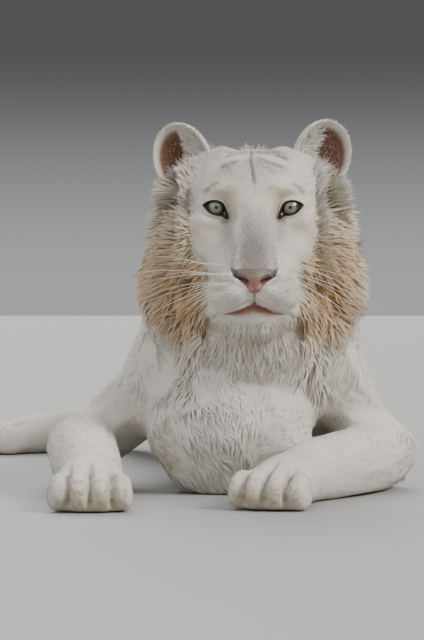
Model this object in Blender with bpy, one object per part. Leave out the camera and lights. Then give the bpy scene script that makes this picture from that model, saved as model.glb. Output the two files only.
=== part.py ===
"""A white tiger lying on its chest, life size, parted into its named body parts.

Metres, +Z up. The tiger faces -Y, so its left side is +X. Every solid runs out to the tips of the coat.
"""
import math

import bmesh
import bpy
from mathutils import Matrix, Vector

# Driving dimensions. Y = 0 is just behind the eyes while the body is modelled, and Z = 0 is the floor.
HEAD_TOP = 0.525
EYE_Y = -0.006
EYE_HEIGHT = 0.430
EYE_APART = 0.110
EYE_RADIUS = 0.0185
NOSE_TIP_Y = -0.140
NOSE_HEIGHT = 0.322
NOSE_WIDTH = 0.068
MOUTH_HEIGHT = 0.286
CHIN_BOTTOM = 0.244
MUZZLE_WIDTH = 0.148
CHEEK_WIDTH = 0.212
RUFF_WIDTH = 0.366
EAR_WIDTH = 0.094
EAR_HEIGHT = 0.122
WITHERS_Y = 0.32
WITHERS_HEIGHT = 0.430
LOIN_HEIGHT = 0.400
TRUNK_WIDTH = 0.376
WAIST_WIDTH = 0.312
BRISKET_LEAN = -0.036
RUMP_Y = 1.20
TAIL_ROOT_DIAMETER = 0.078
TAIL_TIP_DIAMETER = 0.050
FOREPAW_WIDTH = 0.124
FOREARM_CUT = 0.160
HIND_PAW_WIDTH = 0.108

GAP = 0.0003  # between neighbouring solids
VOXEL = 0.0075  # cell of the blend that welds the body's masses into one
BLEND_STEPS = 9
BODY_TRIANGLES = 3200
# How readily each region gives up triangles when the blend is thinned.
COARSENESS = {"face": 0.90, "paws": 0.86, "rest": 1.0}
RING_SIDES = 28
LEFT, RIGHT = 1, -1
SIDE_NAMES = {LEFT: "left", RIGHT: "right"}
DOME_ANGLES = (25, 50, 75)

EAR_LIFT = {LEFT: 0.005, RIGHT: 0.0}

# The legs as laid on the floor: (x, y, z) along each length of a leg, and the half thickness there.
FORELEGS = {
    LEFT: {
        "upper": [(0.095, 0.31, 0.315, 0.060), (0.116, 0.17, 0.235, 0.066), (0.130, 0.11, 0.165, 0.060)],
        "elbow": [(0.130, 0.11, 0.165, 0.060), (0.180, 0.15, 0.086, 0.055), (0.214, 0.17, 0.058, 0.055)],
        "forearm": [(0.214, 0.17, 0.058, 0.055), (0.180, 0.06, 0.055, 0.057), (0.078, -0.10, 0.044, 0.051)],
    },
    RIGHT: {
        "upper": [(-0.095, 0.31, 0.315, 0.060), (-0.116, 0.18, 0.235, 0.066), (-0.148, 0.12, 0.160, 0.062)],
        "elbow": [(-0.148, 0.12, 0.160, 0.062), (-0.224, 0.18, 0.090, 0.060), (-0.268, 0.19, 0.066, 0.061)],
        "forearm": [(-0.268, 0.19, 0.066, 0.061), (-0.26, 0.07, 0.060, 0.061), (-0.236, -0.12, 0.044, 0.052)],
    },
}
FOREPAWS = {LEFT: ((0.072, -0.110), (0.006, -0.300)), RIGHT: ((-0.236, -0.130), (-0.228, -0.330))}
HIND_LEGS = {
    LEFT: {
        "thigh": [(0.055, 1.14, 0.235, 0.105), (0.108, 1.00, 0.200, 0.108), (0.150, 0.87, 0.135, 0.078)],
        "shank": [(0.155, 0.86, 0.120, 0.070), (0.160, 1.02, 0.084, 0.050), (0.160, 1.13, 0.060, 0.042)],
        "foot": [(0.160, 1.13, 0.052, 0.041), (0.182, 1.06, 0.044, 0.041), (0.205, 0.98, 0.038, 0.041)],
    },
    RIGHT: {
        "thigh": [(-0.055, 1.14, 0.235, 0.105), (-0.110, 1.00, 0.200, 0.108), (-0.166, 0.87, 0.138, 0.080)],
        "shank": [(-0.174, 0.86, 0.124, 0.072), (-0.204, 1.02, 0.084, 0.051), (-0.218, 1.13, 0.060, 0.043)],
        "foot": [(-0.216, 1.13, 0.052, 0.042), (-0.285, 1.10, 0.045, 0.042), (-0.360, 1.06, 0.040, 0.042)],
    },
}
HIND_FOOT_TOP = {LEFT: 0.080, RIGHT: 0.130}
HIND_PAWS = {LEFT: ((0.205, 0.99), (0.232, 0.855)), RIGHT: ((-0.350, 1.065), (-0.500, 0.985))}
TAIL_ROUTE = [
    (0.000, 1.30, 0.200),
    (0.010, 1.38, 0.150),
    (0.035, 1.46, 0.080),
    (0.085, 1.53, 0.040),
    (0.155, 1.56, 0.034),
    (0.225, 1.53, 0.032),
    (0.264, 1.45, 0.030),
    (0.270, 1.35, 0.028),
    (0.262, 1.25, 0.026),
    (0.250, 1.16, 0.024),
]

for old in list(bpy.data.objects):
    bpy.data.objects.remove(old)


# Mesh helpers

def new_object(name, mesh):
    ob = bpy.data.objects.new(name, mesh)
    bpy.context.scene.collection.objects.link(ob)
    return ob


def object_of(name, bm):
    bmesh.ops.recalc_face_normals(bm, faces=bm.faces[:])
    mesh = bpy.data.meshes.new(name)
    bm.to_mesh(mesh)
    bm.free()
    return new_object(name, mesh)


def ellipsoid(centre, radii, turn=(0, 0, 0), divisions=4):
    """A ball squashed to three radii, turned by three angles in degrees and set at its centre."""
    bm = bmesh.new()
    bmesh.ops.create_icosphere(bm, subdivisions=divisions, radius=1)
    turned = Matrix.LocRotScale(Vector(centre), euler(turn), Vector(radii))
    bmesh.ops.transform(bm, matrix=turned, verts=bm.verts[:])
    return object_of("mass", bm)


def euler(turn):
    return Matrix.Rotation(math.radians(turn[2]), 3, "Z") @ Matrix.Rotation(
        math.radians(turn[1]), 3, "Y"
    ) @ Matrix.Rotation(math.radians(turn[0]), 3, "X")


def box(centre, half, yaw=0, pitch=0):
    bm = bmesh.new()
    bmesh.ops.create_cube(bm, size=2)
    placed = Matrix.LocRotScale(Vector(centre), euler((pitch, 0, yaw)), Vector(half))
    bmesh.ops.transform(bm, matrix=placed, verts=bm.verts[:])
    return object_of("box", bm)


def smooth_stations(stations, steps=5):
    """Adds stations between the given ones on a curve that passes through them all."""
    rows = [Vector(row) for row in stations]
    rows = [2 * rows[0] - rows[1]] + rows + [2 * rows[-1] - rows[-2]]
    found = []
    for before, start, end, after in zip(rows, rows[1:], rows[2:], rows[3:]):
        for step in range(steps):
            t = step / steps
            found.append(
                0.5
                * (
                    2 * start
                    + (end - before) * t
                    + (2 * before - 5 * start + 4 * end - after) * t**2
                    + (3 * start - before - 3 * end + after) * t**3
                )
            )
    return found + [rows[-2]]


def loft(stations, narrow_top=0.0, dome=0.8):
    """A closed round form through stations (x, y, z, half width, half height), with domed ends."""
    rows = smooth_stations(stations)
    points = [Vector(row[:3]) for row in rows]
    last = len(points) - 1
    headings = [(points[min(i + 1, last)] - points[max(i - 1, 0)]).normalized() for i in range(last + 1)]
    rings = [(0, -angle) for angle in DOME_ANGLES[::-1]]
    rings += [(i, 0) for i in range(last + 1)]
    rings += [(last, angle) for angle in DOME_ANGLES]
    bm = bmesh.new()
    loops = []
    for i, angle in rings:
        half_width, half_height = rows[i][3], rows[i][4]
        across = headings[i].cross(Vector((0, 0, 1)))
        across = across.normalized() if across.length > 0.2 else Vector((1, 0, 0))
        upward = across.cross(headings[i]).normalized()
        ahead = math.sin(math.radians(angle)) * dome * min(half_width, half_height)
        shrink = math.cos(math.radians(angle))
        middle = points[i] + headings[i] * ahead
        loop = []
        for side in range(RING_SIDES):
            turn = 2 * math.pi * side / RING_SIDES
            lean = 1 - narrow_top * math.sin(turn)
            aside = across * (math.cos(turn) * lean * half_width * shrink)
            rise = upward * (math.sin(turn) * half_height * shrink)
            loop.append(bm.verts.new(middle + aside + rise))
        loops.append(loop)
    for loop, following in zip(loops, loops[1:]):
        for side in range(RING_SIDES):
            after = (side + 1) % RING_SIDES
            bm.faces.new((loop[side], loop[after], following[after], following[side]))
    bm.faces.new(loops[0][::-1])
    bm.faces.new(loops[-1])
    return object_of("mass", bm)


def with_modifier(ob, kind, **settings):
    """Applies one modifier to the object's mesh and returns the object."""
    modifier = ob.modifiers.new(kind.title(), kind)
    for name, value in settings.items():
        setattr(modifier, name, value)
    evaluated = ob.evaluated_get(bpy.context.evaluated_depsgraph_get())
    mesh = bpy.data.meshes.new_from_object(evaluated)
    ob.modifiers.clear()
    old_mesh = ob.data
    ob.data = mesh
    bpy.data.meshes.remove(old_mesh)
    return ob


def joined(objects):
    """One object with the meshes of them all."""
    bm = bmesh.new()
    for ob in objects:
        bm.from_mesh(ob.data)
        bpy.data.objects.remove(ob)
    return object_of("joined", bm)


def copy_of(ob):
    return new_object("copy", ob.data.copy())


def boolean(ob, other, operation):
    with_modifier(ob, "BOOLEAN", object=other, operation=operation, solver="EXACT")
    return ob


def swollen(ob, by):
    """A copy whose surface is pushed out along its normals."""
    bigger = copy_of(ob)
    bm = bmesh.new()
    bm.from_mesh(bigger.data)
    bm.normal_update()
    for vert, shift in [(vert, vert.normal * by * vert.calc_shell_factor()) for vert in bm.verts]:
        vert.co += shift
    bm.to_mesh(bigger.data)
    bm.free()
    return bigger


def part_off(whole, region, name):
    """Takes what lies in the region off the whole, with a thin gap between, as a new named object."""
    piece = copy_of(whole)
    boolean(piece, region, "INTERSECT")
    wider = swollen(region, GAP)
    boolean(whole, wider, "DIFFERENCE")
    bpy.data.objects.remove(wider)
    bpy.data.objects.remove(region)
    piece.name = name
    return piece


def keep_clear(ob, other):
    """Cuts the object back to a thin gap from another."""
    wider = swollen(other, GAP)
    boolean(ob, wider, "DIFFERENCE")
    bpy.data.objects.remove(wider)


# Masses of the body, which overlap before they are blended

def trunk_masses():
    """The rib cage and loins, the brisket on the floor, the shoulder blades, shoulders and haunches."""
    half = TRUNK_WIDTH / 2
    waist = WAIST_WIDTH / 2
    stations = [
        (0, 0.105, 0.190, 0.120, 0.150),
        (0, 0.180, 0.203, 0.152, 0.200),
        (0, WITHERS_Y, WITHERS_HEIGHT / 2 - 0.004, 0.93 * half, WITHERS_HEIGHT / 2),
        (0, 0.500, 0.200, half, 0.204),
        (0, 0.680, 0.193, 0.5 * (half + waist), 0.199),
        (0, 0.860, 0.192, waist, 0.199),
        (0, 1.020, LOIN_HEIGHT / 2, waist, LOIN_HEIGHT / 2 + 0.004),
        (0, RUMP_Y, 0.182, 0.150, 0.184),
        (0, 1.320, 0.150, 0.088, 0.110),
    ]
    masses = [loft(stations, narrow_top=0.16)]
    masses.append(ellipsoid((BRISKET_LEAN, 0.064, 0.100), (0.134, 0.118, 0.120)))
    for side in SIDE_NAMES:
        masses += [
            ellipsoid((side * 0.080, WITHERS_Y - 0.005, 0.340), (0.078, 0.125, 0.090), (-12, 0, 0)),
            ellipsoid((side * 0.124, WITHERS_Y - 0.070, 0.245), (0.060, 0.098, 0.120), (18, 0, 0)),
            ellipsoid((side * 0.112, RUMP_Y - 0.130, 0.216), (0.102, 0.188, 0.152), (12, 0, 0)),
        ]
    return masses


def neck_masses():
    """The neck, the throat, and the ruff that stands out beside the cheeks."""
    masses = [
        loft([(0, 0.30, 0.285, 0.138, 0.15), (0, 0.17, 0.325, 0.136, 0.16), (0, 0.08, 0.36, 0.125, 0.15)]),
        ellipsoid((0, 0.050, 0.225), (0.134, 0.090, 0.110)),
    ]
    half = 0.082
    for side in SIDE_NAMES:
        across = side * (RUFF_WIDTH / 2 - half)
        masses += [
            ellipsoid((across - side * 0.004, 0.072, 0.338), (half, 0.070, 0.140), (-10, -side * 7, 0)),
            ellipsoid((0.92 * across, 0.125, 0.245), (0.076, 0.090, 0.105)),
        ]
    return masses


def face_masses():
    """The skull, brow, temples, cheeks, bridge of the nose, whisker pads and lower jaw."""
    eye = EYE_APART / 2
    pad = MUZZLE_WIDTH / 2
    masses = [
        ellipsoid((0, 0.085, HEAD_TOP - 0.102), (0.104, 0.110, 0.104)),
        ellipsoid((0, 0.030, HEAD_TOP - 0.082), (0.090, 0.074, 0.070)),
        ellipsoid((0, -0.005, 0.282), (0.086, 0.090, 0.050)),
        ellipsoid((0, -0.068, CHIN_BOTTOM + 0.029), (0.047, 0.056, 0.030), (6, 0, 0)),
        ellipsoid((0, NOSE_TIP_Y + 0.029, NOSE_HEIGHT), (NOSE_WIDTH / 2, 0.027, 0.024)),
        loft(
            [
                (0, 0.020, 0.432, 0.052, 0.046),
                (0, -0.030, 0.398, 0.043, 0.048),
                (0, -0.078, 0.355, 0.038, 0.042),
                (0, -0.108, 0.330, 0.035, 0.028),
            ],
            dome=0.5,
        ),
    ]
    for side in SIDE_NAMES:
        masses += [
            ellipsoid((side * 0.046, 0.080, HEAD_TOP - 0.080), (0.066, 0.085, 0.076)),
            loft([(side * 0.040, 0.047, 0.498, 0.036, 0.036), (side * 0.116, 0.078, 0.424, 0.038, 0.038)]),
            ellipsoid((side * (pad - 0.040), -0.082, MOUTH_HEIGHT + 0.022), (0.040, 0.052, 0.038)),
            ellipsoid((side * 0.056, 0.022, 0.372), (CHEEK_WIDTH / 2 - 0.052, 0.070, 0.074)),
            ellipsoid((side * eye, 0.016, EYE_HEIGHT + 0.019), (0.037, 0.037, 0.028), (0, side * 12, 0)),
            ellipsoid((side * 0.042, -0.022, 0.360), (0.040, 0.056, 0.048), (20, 0, 0)),
        ]
    return masses


def leg_masses(side):
    lengths = [*FORELEGS[side].values(), *HIND_LEGS[side].values()]
    return [loft([(*row, row[3]) for row in length]) for length in lengths]


def paw_masses(wrist, tips, width, toe_length):
    """A foot lying flat: its back from the wrist or ankle, and four toes across its front."""
    start, end = Vector(wrist), Vector(tips)
    ahead = (end - start).normalized()
    across = Vector((-ahead.y, ahead.x))
    half = width / 2
    pad = end - ahead * toe_length
    masses = [
        loft(
            [
                (*start, 0.040, 0.72 * half, 0.044),
                (*start.lerp(pad, 0.55), 0.036, 0.86 * half, 0.042),
                (*pad, 0.030, 0.84 * half, 0.036),
            ]
        )
    ]
    yaw = math.degrees(math.atan2(ahead.y, ahead.x))
    for spread, reach in ((-0.72, 0.58), (-0.25, 0.76), (0.25, 0.76), (0.72, 0.58)):
        toe = pad + across * (spread * half) + ahead * (toe_length * (reach - 0.30))
        radii = (0.62 * toe_length, 0.30 * half, 0.032)
        masses.append(ellipsoid((*toe, 0.026), radii, (0, 0, yaw + 9 * spread), 3))
    return masses


def tail_masses():
    count = len(TAIL_ROUTE) - 1
    stations = []
    for i, point in enumerate(TAIL_ROUTE):
        share = i / count
        half = (TAIL_ROOT_DIAMETER * (1 - share) + TAIL_TIP_DIAMETER * share) / 2
        stations.append((*point, half, half))
    return [loft(stations)]


def coarseness(point):
    """The face and the paws keep smaller triangles than the trunk."""
    hind_paw = point.x < -0.33 or (point.x > 0.20 and 0.80 < point.y < 0.96)
    if point.z < 0.12 and (point.y < -0.08 or hind_paw):
        return COARSENESS["paws"]
    if point.y < 0.12 and point.z > 0.23 and abs(point.x) < 0.12:
        return COARSENESS["face"]
    return COARSENESS["rest"]


def blended_body():
    """All the masses welded into one smooth closed body, flat where it rests on the floor."""
    masses = trunk_masses() + neck_masses() + face_masses() + tail_masses()
    for side in SIDE_NAMES:
        masses += leg_masses(side)
        masses += paw_masses(*FOREPAWS[side], FOREPAW_WIDTH, 0.062)
        masses += paw_masses(*HIND_PAWS[side], HIND_PAW_WIDTH, 0.056)
    body = joined(masses)
    with_modifier(body, "REMESH", mode="VOXEL", voxel_size=VOXEL, adaptivity=0)
    with_modifier(body, "SMOOTH", factor=0.5, iterations=BLEND_STEPS)
    group = body.vertex_groups.new(name="coarse")
    for vert in body.data.vertices:
        group.add([vert.index], coarseness(vert.co), "REPLACE")
    with_modifier(body, "TRIANGULATE")
    share = BODY_TRIANGLES / len(body.data.polygons)
    with_modifier(body, "DECIMATE", ratio=share, vertex_group="coarse", vertex_group_factor=1)
    floor = box((0, 0.6, -0.1), (1, 2, 0.1))
    boolean(body, floor, "DIFFERENCE")
    bpy.data.objects.remove(floor)
    return body


# Parts that are made on their own

def make_eye(side):
    eye = ellipsoid((side * EYE_APART / 2, EYE_Y, EYE_HEIGHT), (EYE_RADIUS,) * 3, divisions=3)
    eye.name = f"eye_{SIDE_NAMES[side]}"
    return eye


def open_eyelids(head, side):
    """Opens the socket, and the almond between the lids that runs down to the nose."""
    socket = ellipsoid((side * EYE_APART / 2, EYE_Y, EYE_HEIGHT), (EYE_RADIUS + GAP,) * 3, divisions=3)
    boolean(head, socket, "DIFFERENCE")
    bpy.data.objects.remove(socket)
    slit = (side * (EYE_APART / 2 + 0.001), EYE_Y - 0.024, EYE_HEIGHT)
    lids = ellipsoid(slit, (0.0205, 0.024, 0.0125), (0, -side * 16, 0), 3)
    boolean(head, lids, "DIFFERENCE")
    bpy.data.objects.remove(lids)


def make_ear(side):
    """A rounded cup, open to the front and a little outwards, that leans out from the skull."""
    lean = (-4, side * 20, side * 12)
    centre = Vector((side * 0.106, 0.075, HEAD_TOP - 0.019 + EAR_LIFT[side]))
    ear = ellipsoid(centre, (EAR_WIDTH / 2, 0.030, EAR_HEIGHT / 2), lean)
    hollow_centre = centre + euler(lean) @ Vector((0, -0.023, 0.003))
    hollow = ellipsoid(hollow_centre, (EAR_WIDTH / 2 - 0.007, 0.034, EAR_HEIGHT / 2 - 0.008), lean)
    boolean(ear, hollow, "DIFFERENCE")
    bpy.data.objects.remove(hollow)
    with_modifier(ear, "DECIMATE", ratio=0.11)
    ear.name = f"ear_{SIDE_NAMES[side]}"
    return ear


# Where the body is parted

def along_limb(start, end, width, low, high, beyond=0.0):
    """A box along a limb's run on the floor, from start to end in plan and on beyond it."""
    start, end = Vector(start), Vector(end)
    end += (end - start).normalized() * beyond
    run = end - start
    yaw = math.degrees(math.atan2(run.y, run.x))
    return box((*(start + end) / 2, (low + high) / 2), (run.length / 2, width / 2, (high - low) / 2), yaw)


def foreleg_parts(body, side, name):
    wrist, tips = FOREPAWS[side]
    paw = part_off(body, along_limb(wrist, tips, 0.17, -0.02, 0.14, 0.08), f"forepaw_{name}")
    elbow_end = Vector(FORELEGS[side]["forearm"][0][:2]).lerp(Vector(wrist), 0.20)
    forearm = part_off(body, along_limb(elbow_end, wrist, FOREARM_CUT, -0.02, 0.15, 0.05), f"forearm_{name}")
    upper_arm = part_off(body, box((side * 0.255, 0.16, 0.13), (0.130, 0.210, 0.17)), f"upper_arm_{name}")
    return [paw, forearm, upper_arm]


def hind_leg_parts(body, side, name):
    ankle, tips = HIND_PAWS[side]
    foot = part_off(body, along_limb(ankle, tips, 0.15, -0.02, HIND_FOOT_TOP[side], 0.08), f"hind_paw_{name}")
    shank = part_off(body, box((side * 0.255, 1.03, 0.055), (0.130, 0.150, 0.075)), f"shank_{name}")
    thigh = part_off(body, box((side * 0.255, 0.98, 0.16), (0.130, 0.230, 0.21)), f"thigh_{name}")
    return [foot, shank, thigh]


def tail_parts(body):
    tip = part_off(body, box((0.278, 1.21, 0.03), (0.055, 0.135, 0.08)), "tail_tip")
    middle = part_off(body, box((0.26, 1.48, 0.03), (0.130, 0.135, 0.08)), "tail_middle")
    base = part_off(body, box((0.03, 1.51, 0.10), (0.10, 0.130, 0.15)), "tail_base")
    return [tip, middle, base]


def leather_outline():
    """A block behind the nose leather: wide across the nostrils, narrowing to the lip."""
    half = NOSE_WIDTH / 2
    top = [(0, 0.020), (0.55 * half, 0.021), (half, 0.013)]
    side = top + [(0.94 * half, 0.001), (0.42 * half, -0.010), (0.20 * half, -0.020)]
    outline = side + [(-x, z) for x, z in side[:0:-1]]
    bm = bmesh.new()
    front = [bm.verts.new((x, NOSE_TIP_Y - 0.02, NOSE_HEIGHT + z)) for x, z in outline]
    back = [bm.verts.new((x, NOSE_TIP_Y + 0.014, NOSE_HEIGHT + z)) for x, z in outline]
    bm.faces.new(front)
    bm.faces.new(back[::-1])
    for i in range(len(outline)):
        after = (i + 1) % len(outline)
        bm.faces.new((front[i], back[i], back[after], front[after]))
    return object_of("leather", bm)


def head_parts(body):
    """The head comes off along a plane that slopes from behind the ears to the throat."""
    head = part_off(body, box((0, -0.19, 0.465), (0.30, 0.25, 0.250), 0, -22), "head")
    nose = part_off(head, leather_outline(), "nose")
    jaw = part_off(head, box((0, -0.10, 0.205), (0.095, 0.105, MOUTH_HEIGHT - 0.213), 0, -5), "lower_jaw")
    return [head, nose, jaw]


def trunk_parts(body):
    neck = part_off(body, box((0, 0.0, 0.40), (0.30, 0.200, 0.20)), "neck")
    chest = part_off(body, box((0, 0.12, 0.25), (0.30, 0.300, 0.30)), "chest")
    belly = part_off(body, box((0, 0.62, 0.25), (0.30, 0.260, 0.30)), "belly")
    body.name = "rump"
    return [neck, chest, belly, body]


# Materials

def material(name, colour, roughness):
    made = bpy.data.materials.new(name)
    made.use_nodes = True
    shader = made.node_tree.nodes["Principled BSDF"]
    shader.inputs["Base Color"].default_value = (*colour, 1)
    shader.inputs["Roughness"].default_value = roughness
    shader.inputs["Metallic"].default_value = 0
    return made


def paint(parts):
    coat = material("white_coat", (0.80, 0.75, 0.66), 0.85)
    ruff = material("tawny_ruff", (0.72, 0.58, 0.42), 0.90)
    leather = material("nose_leather", (0.62, 0.36, 0.31), 0.50)
    eye = material("eye", (0.42, 0.47, 0.44), 0.15)
    special = {"nose": leather, "ruff_left": ruff, "ruff_right": ruff, "eye_left": eye, "eye_right": eye}
    for part in parts:
        part.data.materials.clear()
        part.data.materials.append(special.get(part.name, coat))
        part.data.shade_smooth()


def stand_on_origin(parts):
    """Moves the parts so that the origin is at the bottom centre of their box, under one empty."""
    corners = [vert.co for part in parts for vert in part.data.vertices]
    low = Vector(min(corner[i] for corner in corners) for i in range(3))
    high = Vector(max(corner[i] for corner in corners) for i in range(3))
    shift = Vector(((low.x + high.x) / 2, (low.y + high.y) / 2, low.z))
    empty = bpy.data.objects.new("white_tiger", None)
    bpy.context.scene.collection.objects.link(empty)
    for part in parts:
        part.data.transform(Matrix.Translation(-shift))
        part.parent = empty
        part.data.name = part.name


def main():
    body = blended_body()
    ears = [make_ear(side) for side in SIDE_NAMES]
    for ear in ears:
        keep_clear(ear, body)
    parts = tail_parts(body)
    for side, name in SIDE_NAMES.items():
        parts += foreleg_parts(body, side, name) + hind_leg_parts(body, side, name)
        parts.append(part_off(body, box((side * 0.20, 0.07, 0.34), (0.096, 0.120, 0.19)), f"ruff_{name}"))
    head, nose, jaw = head_parts(body)
    eyes = [make_eye(side) for side in SIDE_NAMES]
    for side in SIDE_NAMES:
        open_eyelids(head, side)
    parts += [head, nose, jaw] + ears + eyes + trunk_parts(body)
    paint(parts)
    stand_on_origin(parts)


main()
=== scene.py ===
"""The looks of a white tiger lying on its chest: one skin, eyes, nose leather, coat and whiskers.

Shapes are worked out in the tiger's own space, in metres: X = 0 is the middle of its head, Y = 0 the plane
of its eyes and Z = 0 the floor. It faces -Y, so its left side is +X. add_piece() sets a shape into the frame.
"""

import math

import bmesh
import bpy
import numpy as np
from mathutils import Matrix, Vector
from mathutils.bvhtree import BVHTree


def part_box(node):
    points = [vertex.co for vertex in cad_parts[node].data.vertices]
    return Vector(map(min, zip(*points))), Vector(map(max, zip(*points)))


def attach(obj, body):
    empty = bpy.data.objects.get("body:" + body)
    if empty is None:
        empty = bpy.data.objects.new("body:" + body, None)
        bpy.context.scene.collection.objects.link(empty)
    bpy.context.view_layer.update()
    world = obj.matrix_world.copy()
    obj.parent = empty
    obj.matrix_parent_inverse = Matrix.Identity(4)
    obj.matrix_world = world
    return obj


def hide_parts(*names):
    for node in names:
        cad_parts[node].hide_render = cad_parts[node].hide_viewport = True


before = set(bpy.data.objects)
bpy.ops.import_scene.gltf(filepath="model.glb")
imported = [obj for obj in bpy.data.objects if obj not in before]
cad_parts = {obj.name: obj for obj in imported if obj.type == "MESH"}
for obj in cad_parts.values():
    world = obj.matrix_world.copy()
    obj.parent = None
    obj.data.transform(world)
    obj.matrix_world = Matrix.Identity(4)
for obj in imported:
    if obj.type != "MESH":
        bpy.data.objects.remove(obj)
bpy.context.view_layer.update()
rng = np.random.default_rng(7)

EYE_Y = -0.006
EYE_HEIGHT = 0.430
EYE_APART = 0.110
EYE_RADIUS = 0.0185
IRIS_RADIUS = 0.0104
PUPIL_RADIUS = 0.0027
NOSE_TIP_Y = -0.140
SIDES = {"left": 1, "right": -1}
VOXEL = 0.005
MELT_SWELL = 0.0006  # closes the gaps between the solids of flesh
WELD_DISTANCE = 1e-5
HEAD_KINDS = ("head", "nose", "eye", "lower_jaw")
TEAR_DUCT = (-0.0165, -0.0150)  # of an eye's opening, as offsets outwards and upwards from the pupil
TUFT_FLOOR, SKIN_FLOOR = 0.0004, 0.0006  # the lowest that tufts and skin come to the floor


def head_origin():
    """Where X = 0, Y = 0 and Z = 0 of the tiger's own space lie in the frame."""
    corners = [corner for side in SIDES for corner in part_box(f"eye_{side}")]
    centre = sum(corners, Vector()) / len(corners)
    return np.array((centre.x, centre.y - EYE_Y, 0.0))


ORIGIN = head_origin()

# The runs of the legs and the tail: points from the body outwards, which the coat lies along.
RUNS = {
    "foreleg_left": [
        (0.095, 0.31, 0.315), (0.116, 0.17, 0.235), (0.130, 0.11, 0.165), (0.180, 0.15, 0.086),
        (0.214, 0.17, 0.058), (0.180, 0.06, 0.055), (0.072, -0.11, 0.044), (0.006, -0.30, 0.030),
    ],
    "foreleg_right": [
        (-0.095, 0.31, 0.315), (-0.116, 0.18, 0.235), (-0.148, 0.12, 0.160), (-0.224, 0.18, 0.090),
        (-0.268, 0.19, 0.066), (-0.260, 0.07, 0.060), (-0.236, -0.13, 0.044), (-0.228, -0.33, 0.030),
    ],
    "hind_leg_left": [
        (0.055, 1.14, 0.235), (0.108, 1.00, 0.200), (0.150, 0.87, 0.135), (0.160, 1.02, 0.084),
        (0.160, 1.13, 0.060), (0.182, 1.06, 0.044), (0.205, 0.98, 0.040), (0.232, 0.855, 0.030),
    ],
    "hind_leg_right": [
        (-0.055, 1.14, 0.235), (-0.110, 1.00, 0.200), (-0.166, 0.87, 0.138), (-0.204, 1.02, 0.084),
        (-0.218, 1.13, 0.060), (-0.285, 1.10, 0.045), (-0.350, 1.065, 0.040), (-0.500, 0.985, 0.030),
    ],
    "tail": [
        (0.000, 1.30, 0.200), (0.010, 1.38, 0.150), (0.035, 1.46, 0.080), (0.085, 1.53, 0.040),
        (0.155, 1.56, 0.034), (0.225, 1.53, 0.032), (0.264, 1.45, 0.030), (0.270, 1.35, 0.028),
        (0.262, 1.25, 0.026), (0.250, 1.16, 0.024),
    ],
}


# Mesh helpers

def new_object(name, mesh):
    ob = bpy.data.objects.new(name, mesh)
    bpy.context.scene.collection.objects.link(ob)
    return ob


def add_piece(name, mesh, slot, material, *stands_for):
    """Sets a mesh made in the tiger's own space into the frame as a piece that rides on the body."""
    points = read_points(mesh) + ORIGIN
    mesh.vertices.foreach_set("co", points.astype(np.float32).ravel())
    mesh.update()
    piece = new_object(name, mesh)
    mesh.materials.clear()
    mesh.materials.append(material)
    mesh.shade_smooth()
    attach(piece, "root")
    if stands_for:
        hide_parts(*stands_for)


def read_points(mesh):
    points = np.empty(len(mesh.vertices) * 3, np.float32)
    mesh.vertices.foreach_get("co", points)
    return points.reshape(-1, 3).astype(float)


def read_triangles(mesh):
    mesh.calc_loop_triangles()
    triangles = np.empty(len(mesh.loop_triangles) * 3, np.int32)
    mesh.loop_triangles.foreach_get("vertices", triangles)
    return triangles.reshape(-1, 3)


def mesh_of(name, points, triangles):
    """A mesh of triangles from arrays, which is far quicker than from lists."""
    mesh = bpy.data.meshes.new(name)
    count = len(triangles)
    mesh.vertices.add(len(points))
    mesh.vertices.foreach_set("co", np.asarray(points, np.float32).ravel())
    mesh.loops.add(count * 3)
    mesh.loops.foreach_set("vertex_index", np.asarray(triangles, np.int32).ravel())
    mesh.polygons.add(count)
    mesh.polygons.foreach_set("loop_start", np.arange(0, count * 3, 3, dtype=np.int32))
    mesh.update(calc_edges=True)
    return mesh


def with_modifier(ob, kind, **settings):
    """Gives an object the shape that a modifier makes of it."""
    modifier = ob.modifiers.new(kind.title(), kind)
    for name, value in settings.items():
        setattr(modifier, name, value)
    evaluated = ob.evaluated_get(bpy.context.evaluated_depsgraph_get())
    mesh = bpy.data.meshes.new_from_object(evaluated)
    ob.modifiers.clear()
    ob.data = mesh


def opened(mesh):
    bm = bmesh.new()
    bm.from_mesh(mesh)
    return bm


def closed(bm, mesh):
    """Writes an opened mesh back and lets go of it."""
    bm.to_mesh(mesh)
    bm.free()
    return mesh


def quads_between(one, other, count):
    """The quads that join two rings of points, given the number of each ring's first point."""
    return [(one + i, one + (i + 1) % count, other + (i + 1) % count, other + i) for i in range(count)]


def halved(quads):
    """Each quad as two triangles."""
    return [corners for a, b, c, d in quads for corners in ((a, b, c), (a, c, d))]


def paint(mesh, colours):
    """Keeps a colour for each point of the mesh, which its material reads."""
    layer = mesh.attributes.new("tint", "FLOAT_COLOR", "POINT")
    rgba = np.ones((len(mesh.vertices), 4), np.float32)
    rgba[:, :3] = colours
    layer.data.foreach_set("color", rgba.ravel())


# Small mathematics on arrays of points

def unit(vectors):
    return vectors / np.maximum(np.linalg.norm(vectors, axis=-1, keepdims=True), 1e-9)


def ramp(values, low, high):
    """0 below low, 1 above high, and a smooth rise between."""
    share = np.clip((values - low) / (high - low), 0, 1)
    return share * share * (3 - 2 * share)


def hump(values, width):
    """1 at zero, falling smoothly on both sides to about a third at the width."""
    return np.exp(-((values / width) ** 2))


def bell(points, centre, radii):
    """1 at the centre, falling smoothly to 0 at an ellipsoid of about twice the radii."""
    away = (points - np.array(centre)) / np.array(radii)
    return np.exp(-np.sum(away * away, axis=1))


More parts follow.
